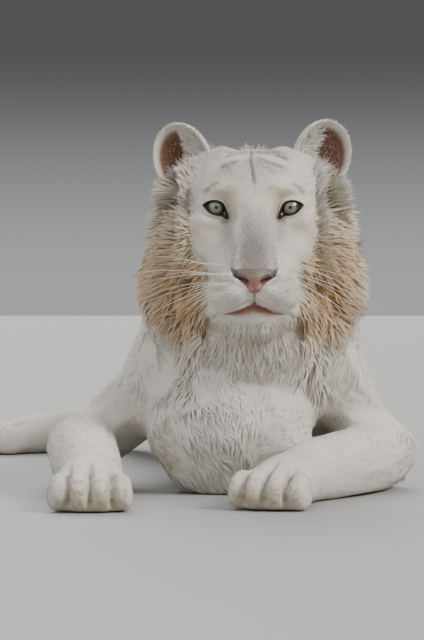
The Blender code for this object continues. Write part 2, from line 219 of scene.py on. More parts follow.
def to_path(points, path):
    """Each point's distance to a broken line, how far along the line it is, and the line's heading there."""
    path = np.asarray(path, float)
    nearest = np.full(len(points), np.inf)
    along = np.zeros(len(points))
    heading = np.zeros_like(points)
    done = 0.0
    total = np.sum(np.linalg.norm(np.diff(path, axis=0), axis=1))
    for start, end in zip(path, path[1:]):
        run = end - start
        length = np.linalg.norm(run)
        share = np.clip((points - start) @ run / length**2, 0, 1)
        distance = np.linalg.norm(points - start - share[:, None] * run, axis=1)
        closer = distance < nearest
        nearest = np.where(closer, distance, nearest)
        along = np.where(closer, (done + share * length) / total, along)
        heading[closer] = run / length
        done += length
    return nearest, along, heading


def curve(points, steps):
    """A smooth line through the given points."""
    rows = np.asarray(points, float)
    rows = np.vstack((2 * rows[0] - rows[1], rows, 2 * rows[-1] - rows[-2]))
    found = []
    for before, start, end, after in zip(rows, rows[1:], rows[2:], rows[3:]):
        for t in np.arange(steps) / steps:
            bend = (2 * before - 5 * start + 4 * end - after) * t**2
            twist = (3 * start - before - 3 * end + after) * t**3
            found.append(0.5 * (2 * start + (end - before) * t + bend + twist))
    found.append(rows[-2])
    return np.array(found)


def crosses(across, up, start, end):
    """Whether a line from each point towards greater values of across meets the edge between two places."""
    (x0, y0), (x1, y1) = start, end
    at = x0 + (up - y0) * (x1 - x0) / (y1 - y0 if y1 != y0 else 1e-12)
    return ((y0 > up) != (y1 > up)) & (across < at)


class Surface:
    """The skin's points and triangles, with its neighbours and normals worked out on arrays."""

    def __init__(self, points, triangles):
        self.points = points
        self.triangles = triangles
        pairs = np.vstack((triangles[:, :2], triangles[:, 1:], triangles[:, ::2]))
        pairs = np.unique(np.sort(pairs, axis=1), axis=0)
        self.one = np.concatenate((pairs[:, 0], pairs[:, 1]))
        self.other = np.concatenate((pairs[:, 1], pairs[:, 0]))
        self.count = np.bincount(self.one, minlength=len(points))[:, None]

    def face_normals(self):
        corners = self.points[self.triangles]
        return np.cross(corners[:, 1] - corners[:, 0], corners[:, 2] - corners[:, 0])

    def normals(self):
        faces = self.face_normals()
        total = np.zeros_like(self.points)
        for corner in range(3):
            for axis in range(3):
                total[:, axis] += np.bincount(self.triangles[:, corner], faces[:, axis], len(total))
        return unit(total)

    def around(self, values):
        """The mean of each point's neighbours."""
        values = values.reshape(len(self.points), -1)
        columns = [np.bincount(self.one, column[self.other], len(values)) for column in values.T]
        return np.stack(columns, axis=1) / self.count

    def spread(self, values, steps):
        shape = values.shape
        values = values.reshape(len(self.points), -1)
        for _ in range(steps):
            values = (values + self.around(values)) / 2
        return values.reshape(shape)

    def smooth(self, share):
        """Moves each point a share of the way to the middle of its neighbours."""
        self.points += share * (self.around(self.points) - self.points)


# The skin

# How deep the skin lies under the solids' surface, by the solid that is nearest.
SKIN_DEPTH = {
    "head": 0.0035, "lower_jaw": 0.0035, "nose": 0.0015, "ruff": 0.034, "neck": 0.014, "chest": 0.014,
    "belly": 0.011, "rump": 0.011, "upper_arm": 0.008, "forearm": 0.006, "forepaw": 0.0035,
    "thigh": 0.009, "shank": 0.006, "hind_paw": 0.0035, "tail_base": 0.009, "tail_middle": 0.009,
    "tail_tip": 0.009, "ear": 0.001,
}
UNDER_SKIN = [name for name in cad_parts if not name.startswith("eye") and name != "nose"]
MELTED = [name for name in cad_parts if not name.startswith("ear")]
PLAIN_SHARE = 0.145  # of the triangles away from the face and the toes that are kept


def kind_of(node):
    return node.replace("_left", "").replace("_right", "")


def solid_arrays(names):
    """The points and triangles of some solids, and for each triangle the number of its solid."""
    points, triangles, owners = [], [], []
    done = 0
    for number, name in enumerate(names):
        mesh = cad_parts[name].data
        found = read_points(mesh) - ORIGIN
        faces = read_triangles(mesh)
        points.append(found)
        triangles.append(faces + done)
        owners.append(np.full(len(faces), number))
        done += len(found)
    return np.vstack(points), np.vstack(triangles), np.concatenate(owners)


def welded(points, triangles, swell):
    """A closed solid with one point at each corner, swollen a little."""
    bm = opened(mesh_of("weld", points, triangles))
    bmesh.ops.remove_doubles(bm, verts=bm.verts[:], dist=WELD_DISTANCE)
    bm.normal_update()
    for vert, shift in [(vert, vert.normal * swell) for vert in bm.verts]:
        vert.co += shift
    return bm


def melted_flesh():
    """The solids of flesh swollen until they touch and welded into one closed surface."""
    whole = bmesh.new()
    for name in MELTED:
        points, triangles, _ = solid_arrays([name])
        bm = welded(points, triangles, MELT_SWELL)
        whole.from_mesh(closed(bm, bpy.data.meshes.new("part")))
    flesh = new_object("flesh", closed(whole, bpy.data.meshes.new("flesh")))
    with_modifier(flesh, "REMESH", mode="VOXEL", voxel_size=VOXEL, adaptivity=0)
    with_modifier(flesh, "SMOOTH", factor=0.5, iterations=5)
    with_modifier(flesh, "TRIANGULATE")
    group = flesh.vertex_groups.new(name="plain")
    plain = [vert.index for vert in flesh.data.vertices if not in_face(vert.co) and not in_toes(vert.co)]
    group.add(plain, 1.0, "REPLACE")
    share = 1 - (1 - PLAIN_SHARE) * len(plain) / len(flesh.data.vertices)
    with_modifier(flesh, "DECIMATE", ratio=share, vertex_group="plain", vertex_group_factor=1)
    return flesh


def in_face(point):
    """Whether a place is on the face or the front of the head."""
    return point.y < 0.075 + (point.z - 0.40) * 0.6 and point.z > 0.225 and abs(point.x) < 0.125


def in_features(point):
    """Round the eyes, the nose and the mouth, where the skin is finest."""
    aside = abs(point.x)
    by_eye = math.hypot(aside - EYE_APART / 2, point.z - EYE_HEIGHT) < 0.029 and point.y < 0.0
    by_mouth = point.y < -0.085 and aside < 0.050 and 0.256 < point.z < 0.345
    return by_eye or by_mouth


HIND_TOES = ((0.226, 0.880), (-0.478, 1.000))  # the middles of the hind toes from above


def in_toes(point):
    """Whether a place is on the toes, where the grooves between them need a finer skin."""
    behind = any(math.hypot(point.x - x, point.y - y) < 0.050 for x, y in HIND_TOES)
    return 0.004 < point.z < 0.090 and (point.y < -0.19 or behind)


def refined(mesh):
    """The mesh with smaller faces on the head and paws, and smaller again round eyes, nose and mouth."""
    bm = opened(mesh)
    for wanted in (lambda at: in_face(at) or in_toes(at), in_features):
        chosen = [face for face in bm.faces if wanted(face.calc_center_median())]
        edges = {edge for face in chosen for edge in face.edges}
        bmesh.ops.subdivide_edges(bm, edges=list(edges), cuts=1, use_grid_fill=True, smooth=0)
    bmesh.ops.triangulate(bm, faces=bm.faces[:])
    return closed(bm, mesh)


def largest_body(mesh):
    """Drops any small closed bubble left inside the flesh."""
    bm = opened(mesh)
    waiting, bodies = set(bm.verts), []
    while waiting:
        edge_of_body = [waiting.pop()]
        body = set(edge_of_body)
        while edge_of_body:
            vert = edge_of_body.pop()
            fresh = {edge.other_vert(vert) for edge in vert.link_edges} & waiting
            waiting -= fresh
            body |= fresh
            edge_of_body += fresh
        bodies.append(body)
    bodies.sort(key=len)
    bubbles = [vert for body in bodies[:-1] for vert in body]
    bmesh.ops.delete(bm, geom=bubbles, context="VERTS")
    closed(bm, mesh)


# An ear: its half width, half depth and half height, its hollow, and how it leans out from the skull.
EAR_RADII = (0.046, 0.029, 0.0605)
EAR_HOLLOW = (0.0422, 0.0330, 0.0565)
EAR_HOLLOW_Y = -0.0215
EAR_PLACE = {"left": (0.106, 0.075, 0.511), "right": (-0.106, 0.075, 0.506)}
EAR_LEAN = (-4, 20, 12)
EAR_POCKET = math.radians(-38)  # where round the rim the ear's outer pocket is
EAR_RIM_ANGLE = math.radians(112)


def turned(points, degrees):
    """Points turned about X, then Y, then Z."""
    for axis, angle in enumerate(np.radians(degrees)):
        one, other = (axis + 1) % 3, (axis + 2) % 3
        cos, sin = math.cos(angle), math.sin(angle)
        moved = points.copy()
        moved[:, one] = cos * points[:, one] - sin * points[:, other]
        moved[:, other] = sin * points[:, one] + cos * points[:, other]
        points = moved
    return points


def ear_lean(name):
    side = SIDES[name]
    return EAR_LEAN[0], side * EAR_LEAN[1], side * EAR_LEAN[2]


def make_ear(name):
    """A cup with a rolled rim: down the back from its pole, round the rim and into the hollow."""
    sectors = 72
    turn = np.arange(sectors) * 2 * math.pi / sectors
    profile = []
    for angle in np.linspace(0.12, EAR_RIM_ANGLE, 16):
        profile.append((math.sin(angle), EAR_RADII[1] * math.cos(angle), EAR_RADII))
    rim = profile[-1][1]
    start = math.asin(min(1, (rim - EAR_HOLLOW_Y) / EAR_HOLLOW[1]))
    profile.append((0.93, rim - 0.0022, EAR_RADII))
    for angle in np.linspace(start + 0.06, math.pi / 2 - 0.12, 13):
        profile.append((math.cos(angle), EAR_HOLLOW_Y + EAR_HOLLOW[1] * math.sin(angle), EAR_HOLLOW))
    rows = [np.array([[0, EAR_RADII[1], 0]])]
    # The rim is cut lower at the outer side, where the pocket of the ear is.
    notch = 0.10 * hump((turn - EAR_POCKET) % (2 * math.pi), 0.30)
    notch += 0.10 * hump((EAR_POCKET - turn) % (2 * math.pi), 0.30)
    for share, y, radii in profile:
        out = share * (1 - notch)
        across, up = radii[0] * out * np.cos(turn), radii[2] * out * np.sin(turn)
        rows.append(np.stack((across, np.full(sectors, y), up), axis=1))
    rows.append(np.array([[0, EAR_HOLLOW_Y + EAR_HOLLOW[1], 0]]))
    points = np.vstack(rows) * (SIDES[name], 1, 1)
    bm = bmesh.new()
    verts = [bm.verts.new(point) for point in turned(points, ear_lean(name)) + EAR_PLACE[name]]
    last = len(verts) - 1
    for i in range(sectors):
        after = (i + 1) % sectors
        bm.faces.new((verts[0], verts[1 + i], verts[1 + after]))
        bm.faces.new((verts[last], verts[last - sectors + after], verts[last - sectors + i]))
        for ring in range(len(rows) - 3):
            one, other = 1 + ring * sectors, 1 + (ring + 1) * sectors
            bm.faces.new((verts[one + i], verts[other + i], verts[other + after], verts[one + after]))
    bmesh.ops.recalc_face_normals(bm, faces=bm.faces[:])
    bmesh.ops.triangulate(bm, faces=bm.faces[:])
    return new_object("ear", closed(bm, bpy.data.meshes.new("ear")))


def make_surface():
    flesh = melted_flesh()
    largest_body(flesh.data)
    for name in SIDES:
        ear = make_ear(name)
        with_modifier(flesh, "BOOLEAN", object=ear, operation="UNION", solver="EXACT")
        bpy.data.objects.remove(ear)
    mesh = refined(flesh.data)
    surface = Surface(read_points(mesh), read_triangles(mesh))
    bpy.data.objects.remove(flesh)
    fine = np.array([in_face(Vector(point)) for point in surface.points], float)
    for _ in range(4):
        surface.smooth(0.4 * fine[:, None])
    return surface


# Shaping the skin. Every shape is made on both sides of the face at once, from the one given for the left.

def folded(points):
    return points * np.where(points[:, :1] < 0, (-1, 1, 1), (1, 1, 1))


def knead(surface, centre, radii, shift):
    """Moves the skin round a place by a shift that fades with distance."""
    strength = bell(folded(surface.points), centre, radii)[:, None]
    side = np.where(surface.points[:, :1] < 0, (-1, 1, 1), (1, 1, 1))
    surface.points += strength * side * np.array(shift)


def laid_on(tree, path):
    """The path's points moved to the nearest places on the skin."""
    return np.array([tree.find_nearest(Vector(point))[0] for point in path])


def crease(surface, path, width, depth):
    """Presses a groove into the skin along a path, or raises a fold where the depth is negative."""
    distance, along, _ = to_path(folded(surface.points), path)
    ends = np.minimum(1, 6 * np.minimum(along, 1 - along) + 0.35)
    strength = depth * ends * hump(distance, width)
    surface.points -= strength[:, None] * surface.normals()


def solid_of_points(points):
    """For each point, the name of the solid whose surface is nearest."""
    names = list(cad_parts)
    corners, triangles, owners = solid_arrays(names)
    tree = BVHTree.FromPolygons(corners.tolist(), triangles.tolist())
    found = np.array([owners[tree.find_nearest(point)[2]] for point in points.tolist()])
    return np.array(names)[found]


def sink_to_skin(surface, kinds):
    """Draws the coat's outer surface in by the coat's depth, in small steps so that folds stay clean."""
    steps = 8
    depth = np.array([SKIN_DEPTH.get(kind, SKIN_DEPTH["head"]) for kind in kinds])
    depth = surface.spread(depth, 14)
    depth *= 0.12 + 0.88 * ramp(surface.points[:, 2], 0.0, 0.035)
    for _ in range(steps):
        heading = unit(surface.spread(surface.normals(), 4))
        surface.points -= heading * depth[:, None] / steps
        surface.smooth(0.25)


# Depths in front view round an eye: u runs outwards from the pupil and v upwards.

def lid_surface(u, v):
    """The Y of the outer face of the eyelids, which lie over the ball and turn with the side of the face."""
    return EYE_Y - EYE_RADIUS - 0.0020 + 0.20 * u + (u * u + v * v) / 0.058


def eye_surface(u, v):
    """The Y of the wet front of the eye: the ball, with the cornea on it and the corners' flesh round it."""
    across = u * u + v * v
    ball = EYE_Y - np.sqrt(np.maximum(EYE_RADIUS**2 - across, 1e-8))
    cornea = 0.0012 * np.exp(-across / IRIS_RADIUS**2)
    corners = lid_surface(u, v) + 0.0026
    share = ramp(np.sqrt(across), 0.65 * EYE_RADIUS, 0.95 * EYE_RADIUS)
    return (ball - cornea) * (1 - share) + np.minimum(ball, corners) * share


# The opening between the lids, from the outer corner over the upper lid to the tear duct and back below.
LID_OPENING = curve(
    [
        (0.0195, 0.0040), (0.0115, 0.0090), (0.0010, 0.0102), (-0.0085, 0.0068),
        (-0.0135, -0.0020), (-0.0165, -0.0150), (-0.0090, -0.0118), (0.0005, -0.0108),
        (0.0105, -0.0066), (0.0195, 0.0040),
    ],
    10,
)[:-1]


def inside_opening(u, v):
    """Whether each point lies in the opening, and its distance to the opening's edge."""
    edge = LID_OPENING
    after = np.roll(edge, -1, axis=0)
    crossings = np.zeros(len(u), bool)
    nearest = np.full(len(u), np.inf)
    for start, end in zip(edge, after):
        crossings ^= crosses(u, v, start, end)
        run = end - start
        share = np.clip(((u - start[0]) * run[0] + (v - start[1]) * run[1]) / (run @ run), 0, 1)
        distance = np.hypot(u - start[0] - share * run[0], v - start[1] - share * run[1])
        nearest = np.minimum(nearest, distance)
    return crossings, nearest


def eye_coordinates(points):
    """Offsets outwards and upwards from the nearer pupil."""
    return np.abs(points[:, 0]) - EYE_APART / 2, points[:, 2] - EYE_HEIGHT


def by_opening(points, margin, duct_margin):
    """Which points lie in an eye's opening or this near its edge, with a wider margin at the tear duct."""
    u, v = eye_coordinates(points)
    near = (np.hypot(u, v) < 0.05) & (points[:, 1] < 0.02)
    inside, away = inside_opening(u, v)
    duct = np.hypot(u - TEAR_DUCT[0], v - TEAR_DUCT[1]) < 0.010
    return near & (inside | (away < np.where(duct, duct_margin, margin)))


def shape_lids(surface):
    """Lays the skin over the ball as two lids and tucks it behind the ball within the opening."""
    u, v = eye_coordinates(surface.points)
    near = (np.hypot(u, v) < 0.045) & (surface.points[:, 1] < 0.03)
    inside, away = inside_opening(u[near], v[near])
    u, v = u[near], v[near]
    y = surface.points[near, 1]
    hold = 1 - ramp(away, 0.003, 0.0155)
    upper_fold = 0.0016 * hump(away - 0.0062, 0.0018) * (v > 0.002)
    bulge = 0.0012 * hump(away - 0.0032, 0.0024)
    lids = lid_surface(u, v) + upper_fold - bulge
    y = np.where(inside, eye_surface(u, v) + 0.0045 * ramp(away, 0.0, 0.0025), y * (1 - hold) + lids * hold)
    surface.points[near, 1] = y


# The nostril, the groove below the nose and the mouth, all on the left side of the face.
NOSTRIL = curve(
    [
        (0.0325, -0.128, 0.3375), (0.0302, -0.130, 0.3310), (0.0252, -0.133, 0.3262),
        (0.0195, -0.136, 0.3222), (0.0150, -0.138, 0.3185), (0.0115, -0.138, 0.3145),
        (0.0090, -0.138, 0.3100),
    ],
    4,
)
NOSTRIL_HALF = [0.0011, 0.0015, 0.0024, 0.0033, 0.0036, 0.0026, 0.0012]
PHILTRUM = [(0.0, -0.140, 0.3030), (0.0, -0.135, 0.2905)]
MOUTH = curve(
    [
        (0.0, -0.125, 0.2900), (0.0105, -0.125, 0.2850), (0.0235, -0.122, 0.2785),
        (0.0340, -0.112, 0.2750), (0.0430, -0.100, 0.2725), (0.0510, -0.080, 0.2705),
        (0.0580, -0.055, 0.2700), (0.0620, -0.030, 0.2720),
    ],
    4,
)
LIP_BOTTOM = [(0.0, 0.2615), (0.020, 0.2640), (0.045, 0.2705)]
# The left half of the nose leather's outline in front view.
LEATHER = [
    (0.0, 0.3378), (0.0150, 0.3380), (0.0250, 0.3366), (0.0300, 0.3384), (0.0333, 0.3405),
    (0.0350, 0.3372), (0.0325, 0.3290), (0.0270, 0.3235), (0.0210, 0.3188), (0.0160, 0.3148),
    (0.0125, 0.3105), (0.0090, 0.3055), (0.0045, 0.3022), (0.0, 0.3012),
]
# Rows of whisker roots in front view: the inner and the outer end, and how many.
WHISKER_ROWS = [
    ((0.050, 0.3335), (0.064, 0.3355), 4),
    ((0.038, 0.3190), (0.066, 0.3275), 8),
    ((0.027, 0.3045), (0.067, 0.3105), 10),
]


# The swellings and hollows of a tiger's face, from the forehead down to the chin: the middle, the reach
# and the shift of each.
FACE_FORMS = [
    # Forehead, brows and the hollows round the eyes.
    ((0.034, -0.030, 0.486), (0.020, 0.040, 0.016), (0, -0.003, 0)),
    ((0.048, -0.030, 0.458), (0.024, 0.040, 0.009), (0, -0.0075, 0)),
    ((0.035, -0.045, 0.424), (0.010, 0.040, 0.018), (0, 0.0065, 0)),
    ((0.060, -0.045, 0.396), (0.017, 0.030, 0.009), (0, 0.0042, 0)),
    ((0.084, -0.015, 0.404), (0.018, 0.040, 0.020), (0.002, -0.0065, 0)),
    ((0.052, -0.060, 0.364), (0.012, 0.040, 0.024), (0, 0.0050, 0)),
    ((0.090, -0.010, 0.366), (0.014, 0.040, 0.014), (0, 0.0040, 0)),
    # The hair at the temples fills the step between the head and the ruff.
    ((0.114, 0.030, 0.430), (0.018, 0.045, 0.055), (0, -0.011, 0)),
    ((0.108, 0.020, 0.370), (0.014, 0.045, 0.030), (0, -0.006, 0)),
    # The flat top of the bridge and its edges.
    ((0.030, -0.075, 0.402), (0.009, 0.040, 0.030), (0.002, -0.0075, 0)),
    ((0.030, -0.105, 0.362), (0.009, 0.040, 0.026), (0.002, -0.0080, 0)),
    # Wings of the nose, whisker pads, lips and chin.
    ((0.030, -0.125, 0.328), (0.009, 0.020, 0.010), (0.001, -0.0045, 0)),
    ((0.0, -0.135, 0.325), (0.016, 0.020, 0.010), (0, -0.0040, 0)),
    ((0.030, -0.125, 0.298), (0.019, 0.030, 0.014), (0, -0.0080, 0)),
    ((0.062, -0.100, 0.312), (0.012, 0.030, 0.020), (-0.001, 0.006, 0)),
    ((0.0, -0.115, 0.266), (0.034, 0.030, 0.008), (0, 0.0015, 0)),
    ((0.030, -0.115, 0.276), (0.014, 0.030, 0.007), (0, 0, 0.0025)),
    ((0.0, -0.105, 0.250), (0.024, 0.030, 0.008), (0, -0.0020, -0.0010)),
]


# Creases of the face: where each runs, how wide it is and how deep.
FACE_CREASES = [
    (PHILTRUM, 0.0019, 0.0032),
    (NOSTRIL, 0.0038, 0.0120),
    ([(0, -0.04, 0.455), (0, -0.03, 0.485), (0, 0.01, 0.512)], 0.0040, 0.0016),
    ([(0.040, -0.045, 0.405), (0.038, -0.080, 0.375), (0.037, -0.11, 0.345)], 0.005, 0.0022),
] + [
    (
        [(0.024, -0.135, 0.306 - low), (0.044, -0.130, 0.309 - low), (0.060, -0.110, 0.312 - low)],
        0.0026, 0.0004,
    )
    for low in (0.0, 0.0085, 0.0170)
]


def sculpt_face(surface):
    """Shapes the face: its forms first, then the folds, the nostrils and the mouth, then the lids."""
    for form in FACE_FORMS:
        knead(surface, *form)
    tree = BVHTree.FromPolygons(surface.points.tolist(), surface.triangles.tolist())
    mouth = laid_on(tree, MOUTH)
    below_mouth = mouth - (0, 0, 0.0010)
    crease(surface, below_mouth[: len(mouth) * 2 // 3], 0.0026, 0.0036)
    crease(surface, below_mouth[len(mouth) // 2 :], 0.0028, 0.0016)
    crease(surface, mouth + (0, 0, 0.0050), 0.0040, -0.0014)
    for path, width, depth in FACE_CREASES:
        crease(surface, laid_on(tree, path), width, depth)
    shape_lids(surface)


# Toes

FOREPAW_HALF, HIND_PAW_HALF = 0.062, 0.054
# Each paw's wrist and toe tips from above, and half its width.
PAWS = [
    ((0.072, -0.110), (0.006, -0.300), FOREPAW_HALF), ((-0.236, -0.130), (-0.228, -0.330), FOREPAW_HALF),
    ((0.205, 0.990), (0.232, 0.855), HIND_PAW_HALF), ((-0.350, 1.065), (-0.500, 0.985), HIND_PAW_HALF),
]
GROOVE_PLACES = (-0.50, 0.0, 0.50)  # across the paw, as shares of its half width
GROOVE_WIDTH, GROOVE_DEPTH = 0.0046, 0.0095
KNUCKLE_RISE = 0.003
GROOVES = []


def groove_toes(surface):
    """Presses the three grooves between the four toes of each paw."""
    for wrist, tips, half in PAWS:
        wrist, tips = np.array(wrist), np.array(tips)
        ahead = unit(tips - wrist)
        across = np.array((-ahead[1], ahead[0]))
        local = surface.points[:, :2] - tips
        forward, aside = local @ ahead, local @ across
        normals = surface.normals()
        shown = (surface.points[:, 2] < 0.10) & (np.abs(aside) < 0.075) & (forward > -0.12) & (forward < 0.02)
        strength = np.zeros(len(surface.points))
        for place in GROOVE_PLACES:
            fan = place * half * (1 + 1.2 * (forward + 0.03))
            strength += hump(aside - fan, GROOVE_WIDTH) * ramp(forward, -0.090, -0.040)
        strength *= shown * ramp(surface.points[:, 2], 0.002, 0.012)
        GROOVES.append(strength)
        surface.points -= normals * (GROOVE_DEPTH * strength)[:, None]
        knuckles = hump(forward + 0.040, 0.012) * shown * ramp(surface.points[:, 2], 0.03, 0.05)
        surface.points[:, 2] += KNUCKLE_RISE * knuckles


def make_skin_surface():
    surface = make_surface()
    solids = solid_of_points(surface.points)
    kinds = np.array([kind_of(name) for name in solids])
    sink_to_skin(surface, kinds)
    sculpt_face(surface)
    groove_toes(surface)
    surface.points[:, 2] = np.maximum(surface.points[:, 2], SKIN_FLOOR)
    return surface, solids, kinds


surface, solids, kinds = make_skin_surface()
NORMALS = surface.normals()


# How the coat lies, and how long, broad and raised its tufts are, at each point of the skin

# Length, breadth and rise of the tufts in metres and radians, by the solid they grow on.
COAT = {
    "head": (0.010, 0.0013, 0.20), "lower_jaw": (0.013, 0.0013, 0.24), "nose": (0.005, 0.0010, 0.20),
    "eye": (0.004, 0.0010, 0.20), "ruff": (0.054, 0.0020, 0.28), "neck": (0.030, 0.0018, 0.09),
    "chest": (0.027, 0.0016, 0.13), "belly": (0.026, 0.0022, 0.10), "rump": (0.024, 0.0022, 0.10),
    "upper_arm": (0.020, 0.0018, 0.13), "forearm": (0.014, 0.0015, 0.18), "forepaw": (0.0085, 0.0013, 0.20),
    "thigh": (0.022, 0.0021, 0.10), "shank": (0.015, 0.0017, 0.11), "hind_paw": (0.0090, 0.0014, 0.14),
    "tail_base": (0.024, 0.0022, 0.13), "tail_middle": (0.022, 0.0022, 0.13),
    "tail_tip": (0.022, 0.0022, 0.15), "ear": (0.007, 0.0012, 0.22),
}
EDGE_HAIR = (0.034, 0.0016, 0.19)  # at the sides of the face
RUFF_HAIR = (0.044, 0.0018, 0.24)  # below the cheeks
KINDS_OF_RUN = {
    "foreleg": ("upper_arm", "forearm", "forepaw"),
    "hind_leg": ("thigh", "shank", "hind_paw"),
    "tail": ("tail_base", "tail_middle", "tail_tip"),
}
FACE_MIDDLE = np.array((0.0, -0.02, 0.370))


def cheek_ruff(points):
    """1 where long hair of the ruff grows on the head: behind the muzzle and under the cheeks."""
    aside = np.abs(points[:, 0])
    below = 1 - ramp(points[:, 2] - 0.25 * (aside - 0.09), 0.352, 0.372)
    beside = ramp(aside, 0.062, 0.076) * ramp(points[:, 1], -0.085, -0.055)
    under = 0.30 * (1 - ramp(points[:, 2], 0.236, 0.250)) * ramp(points[:, 1], -0.075, -0.045)
    return np.maximum(below * beside, under)


def cheek_edge(points):
    """1 at the sides of the head, where the short coat of the face runs out over the ruff."""
    aside = np.abs(points[:, 0])
    return ramp(aside + 0.30 * points[:, 1], 0.060, 0.112) ** 1.3 * (1 - ramp(points[:, 2], 0.500, 0.525))


ON_HEAD = np.isin(kinds, HEAD_KINDS)
CHEEK_RUFF = surface.spread(cheek_ruff(surface.points) * ON_HEAD, 4)
CHEEK_EDGE = cheek_edge(surface.points) * ON_HEAD


def lie_of_coat():
    """The heading of the coat at each point of the skin: from the nose over the face, then back and down."""
    points = surface.points
    side = np.sign(points[:, :1])
    lie = np.zeros_like(points)
    lie[:] = (0, 1, -0.30)
    front = (kinds == "chest") & (NORMALS[:, 1] < 0.1) & (points[:, 1] < 0.25)
    to_middle = -side * 0.55 * ramp(np.abs(points[:, :1]), 0.0, 0.06)
    lie[front] = np.hstack((to_middle, np.full_like(side, -0.15), np.full_like(side, -1)))[front]
    neck = kinds == "neck"
    lie[neck] = np.hstack((0.3 * side, np.full_like(side, 0.8), np.full_like(side, -0.55)))[neck]
    away = points - FACE_MIDDLE
    ruff = kinds == "ruff"
    outward = unit(away * (1, 0, 1)) + (0, 0.25, -0.22)
    lie[ruff] = outward[ruff]
    from_nose = unit(points - (0, NOSE_TIP_Y + 0.010, 0.335)) + unit(away * (1, 0, 1)) * 0.4
    to_ruff = np.maximum(CHEEK_RUFF, CHEEK_EDGE)[:, None]
    from_nose = from_nose * (1 - to_ruff) + outward * to_ruff
    lie[ON_HEAD] = from_nose[ON_HEAD]
    for name, path in RUNS.items():
        run = kind_of(name)
        for kind in KINDS_OF_RUN[run]:
            mine = solids == name.replace(run, kind)
            lie[mine] = to_path(points[mine], path)[2] + (0, 0, -0.15)
    ears = kinds == "ear"
    for name, place in EAR_PLACE.items():
        mine = ears & (points[:, 0] * SIDES[name] > 0)
        lie[mine] = unit(points[mine] - place + (0, 0, 0.05)) * (1, 0.2, 1)
    lie = surface.spread(unit(lie), 10)
    lie -= NORMALS * np.sum(lie * NORMALS, axis=1)[:, None]
    return unit(lie)


def coat_sizes():
    """Length, breadth and rise of the tufts at each point of the skin."""
    sizes = np.array([COAT[kind] for kind in kinds])
    sizes = surface.spread(sizes, 10)
    points = surface.points
    aside, z = np.abs(points[:, 0]), points[:, 2]
    length = 0.0055 + 0.005 * ramp(z, 0.44, 0.50)
    length += 0.012 * ramp(points[:, 1], 0.02, 0.10)
    length += 0.010 * (1 - ramp(z, 0.240, 0.262))
    by_jaw = ramp(aside, 0.036, 0.052) * (1 - ramp(z, 0.270, 0.290))
    length += 0.014 * by_jaw
    length *= 1 - 0.5 * NEAR_LIPS
    u, v = eye_coordinates(points)
    near_eye = 1 - ramp(np.hypot(u, v), 0.020, 0.036)
    _, away = inside_opening(u, v)
    by_lid = np.where(near_eye > 0, 0.35 + 0.65 * ramp(away, 0.002, 0.011), 1.0)
    length = length * (1 - 0.45 * near_eye) * by_lid
    sizes[ON_HEAD, 0] = length[ON_HEAD]
    sizes[ON_HEAD, 2] *= ((1 - 0.5 * ramp(points[:, 1], 0.03, 0.09)) * (1 + 0.8 * by_jaw))[ON_HEAD]
    for share, long_hair in ((CHEEK_EDGE, EDGE_HAIR), (CHEEK_RUFF, RUFF_HAIR)):
        sizes = sizes * (1 - share[:, None]) + np.array(long_hair) * share[:, None]
    return surface.spread(sizes, 3)


def lips_share():
    """1 on the mouth's line, fading a centimetre away from it."""
    points = folded(surface.points)
    return (1 - ramp(to_path(points, MOUTH)[0], 0.002, 0.012)) * (points[:, 0] < 0.055)


NEAR_LIPS = lips_share()
LIE = lie_of_coat()
SIZES = coat_sizes()


# Colours, as light reflected in red, green and blue

WHISKER_TOP = 0.3400
WHITE = np.array((0.76, 0.725, 0.655))
CREAM = np.array((0.68, 0.540, 0.330))
TAN = np.array((0.49, 0.255, 0.075))
GREY = np.array((0.140, 0.125, 0.106))
SMOKE = np.array((0.095, 0.087, 0.083))
PINK = np.array((0.40, 0.195, 0.165))
LIP = np.array((0.19, 0.082, 0.052))
EAR_PINK = np.array((0.18, 0.082, 0.050))
EAR_SHADE = np.array((0.055, 0.028, 0.018))
DARK_RIM = np.array((0.022, 0.014, 0.012))
RIM = np.array((0.034, 0.018, 0.014))
DUCT_FLESH = 3.2  # how many times wider the bare flesh is at the inner corner of an eye
# the painted shade inside the nostrils' openings
NOSTRIL_SHADE = np.array((0.008, 0.005, 0.005))
IRIS_INNER = np.array((0.190, 0.200, 0.130))
IRIS_OUTER = np.array((0.130, 0.155, 0.120))
PUPIL_DARK = np.array((0.006, 0.006, 0.007))
WET_FLESH = np.array((0.030, 0.016, 0.012))

# Faint stripes of the forehead, brows and cheeks in front view: points (x, z), half width and strength.
STRIPES = [
    ([(0.000, 0.527), (-0.003, 0.500), (0.001, 0.462)], 0.0026, 0.95),
    ([(-0.050, 0.488), (-0.038, 0.494), (-0.022, 0.498)], 0.0030, 0.95),
    ([(-0.040, 0.486), (-0.032, 0.487)], 0.0024, 0.75),
    ([(0.004, 0.508), (0.024, 0.495), (0.052, 0.487)], 0.0026, 0.90),
    ([(0.000, 0.517), (0.030, 0.514), (0.056, 0.503)], 0.0026, 0.85),
    ([(0.004, 0.502), (0.016, 0.488), (0.034, 0.480)], 0.0020, 0.60),
    ([(-0.004, 0.517), (-0.026, 0.513), (-0.044, 0.507)], 0.0022, 0.70),
    ([(-0.073, 0.452), (-0.063, 0.462), (-0.050, 0.468)], 0.0026, 0.75),
    ([(0.057, 0.466), (0.067, 0.461), (0.076, 0.450)], 0.0028, 0.75),
    ([(-0.094, 0.445), (-0.103, 0.418), (-0.104, 0.385)], 0.0030, 0.55),
    ([(-0.086, 0.452), (-0.090, 0.430)], 0.0022, 0.45),
    ([(0.104, 0.445), (0.098, 0.412), (0.094, 0.378)], 0.0028, 0.45),
]


def mixed(colours, weight, target):
    weight = np.clip(weight, 0, 1)[:, None]
    return colours * (1 - weight) + target * weight
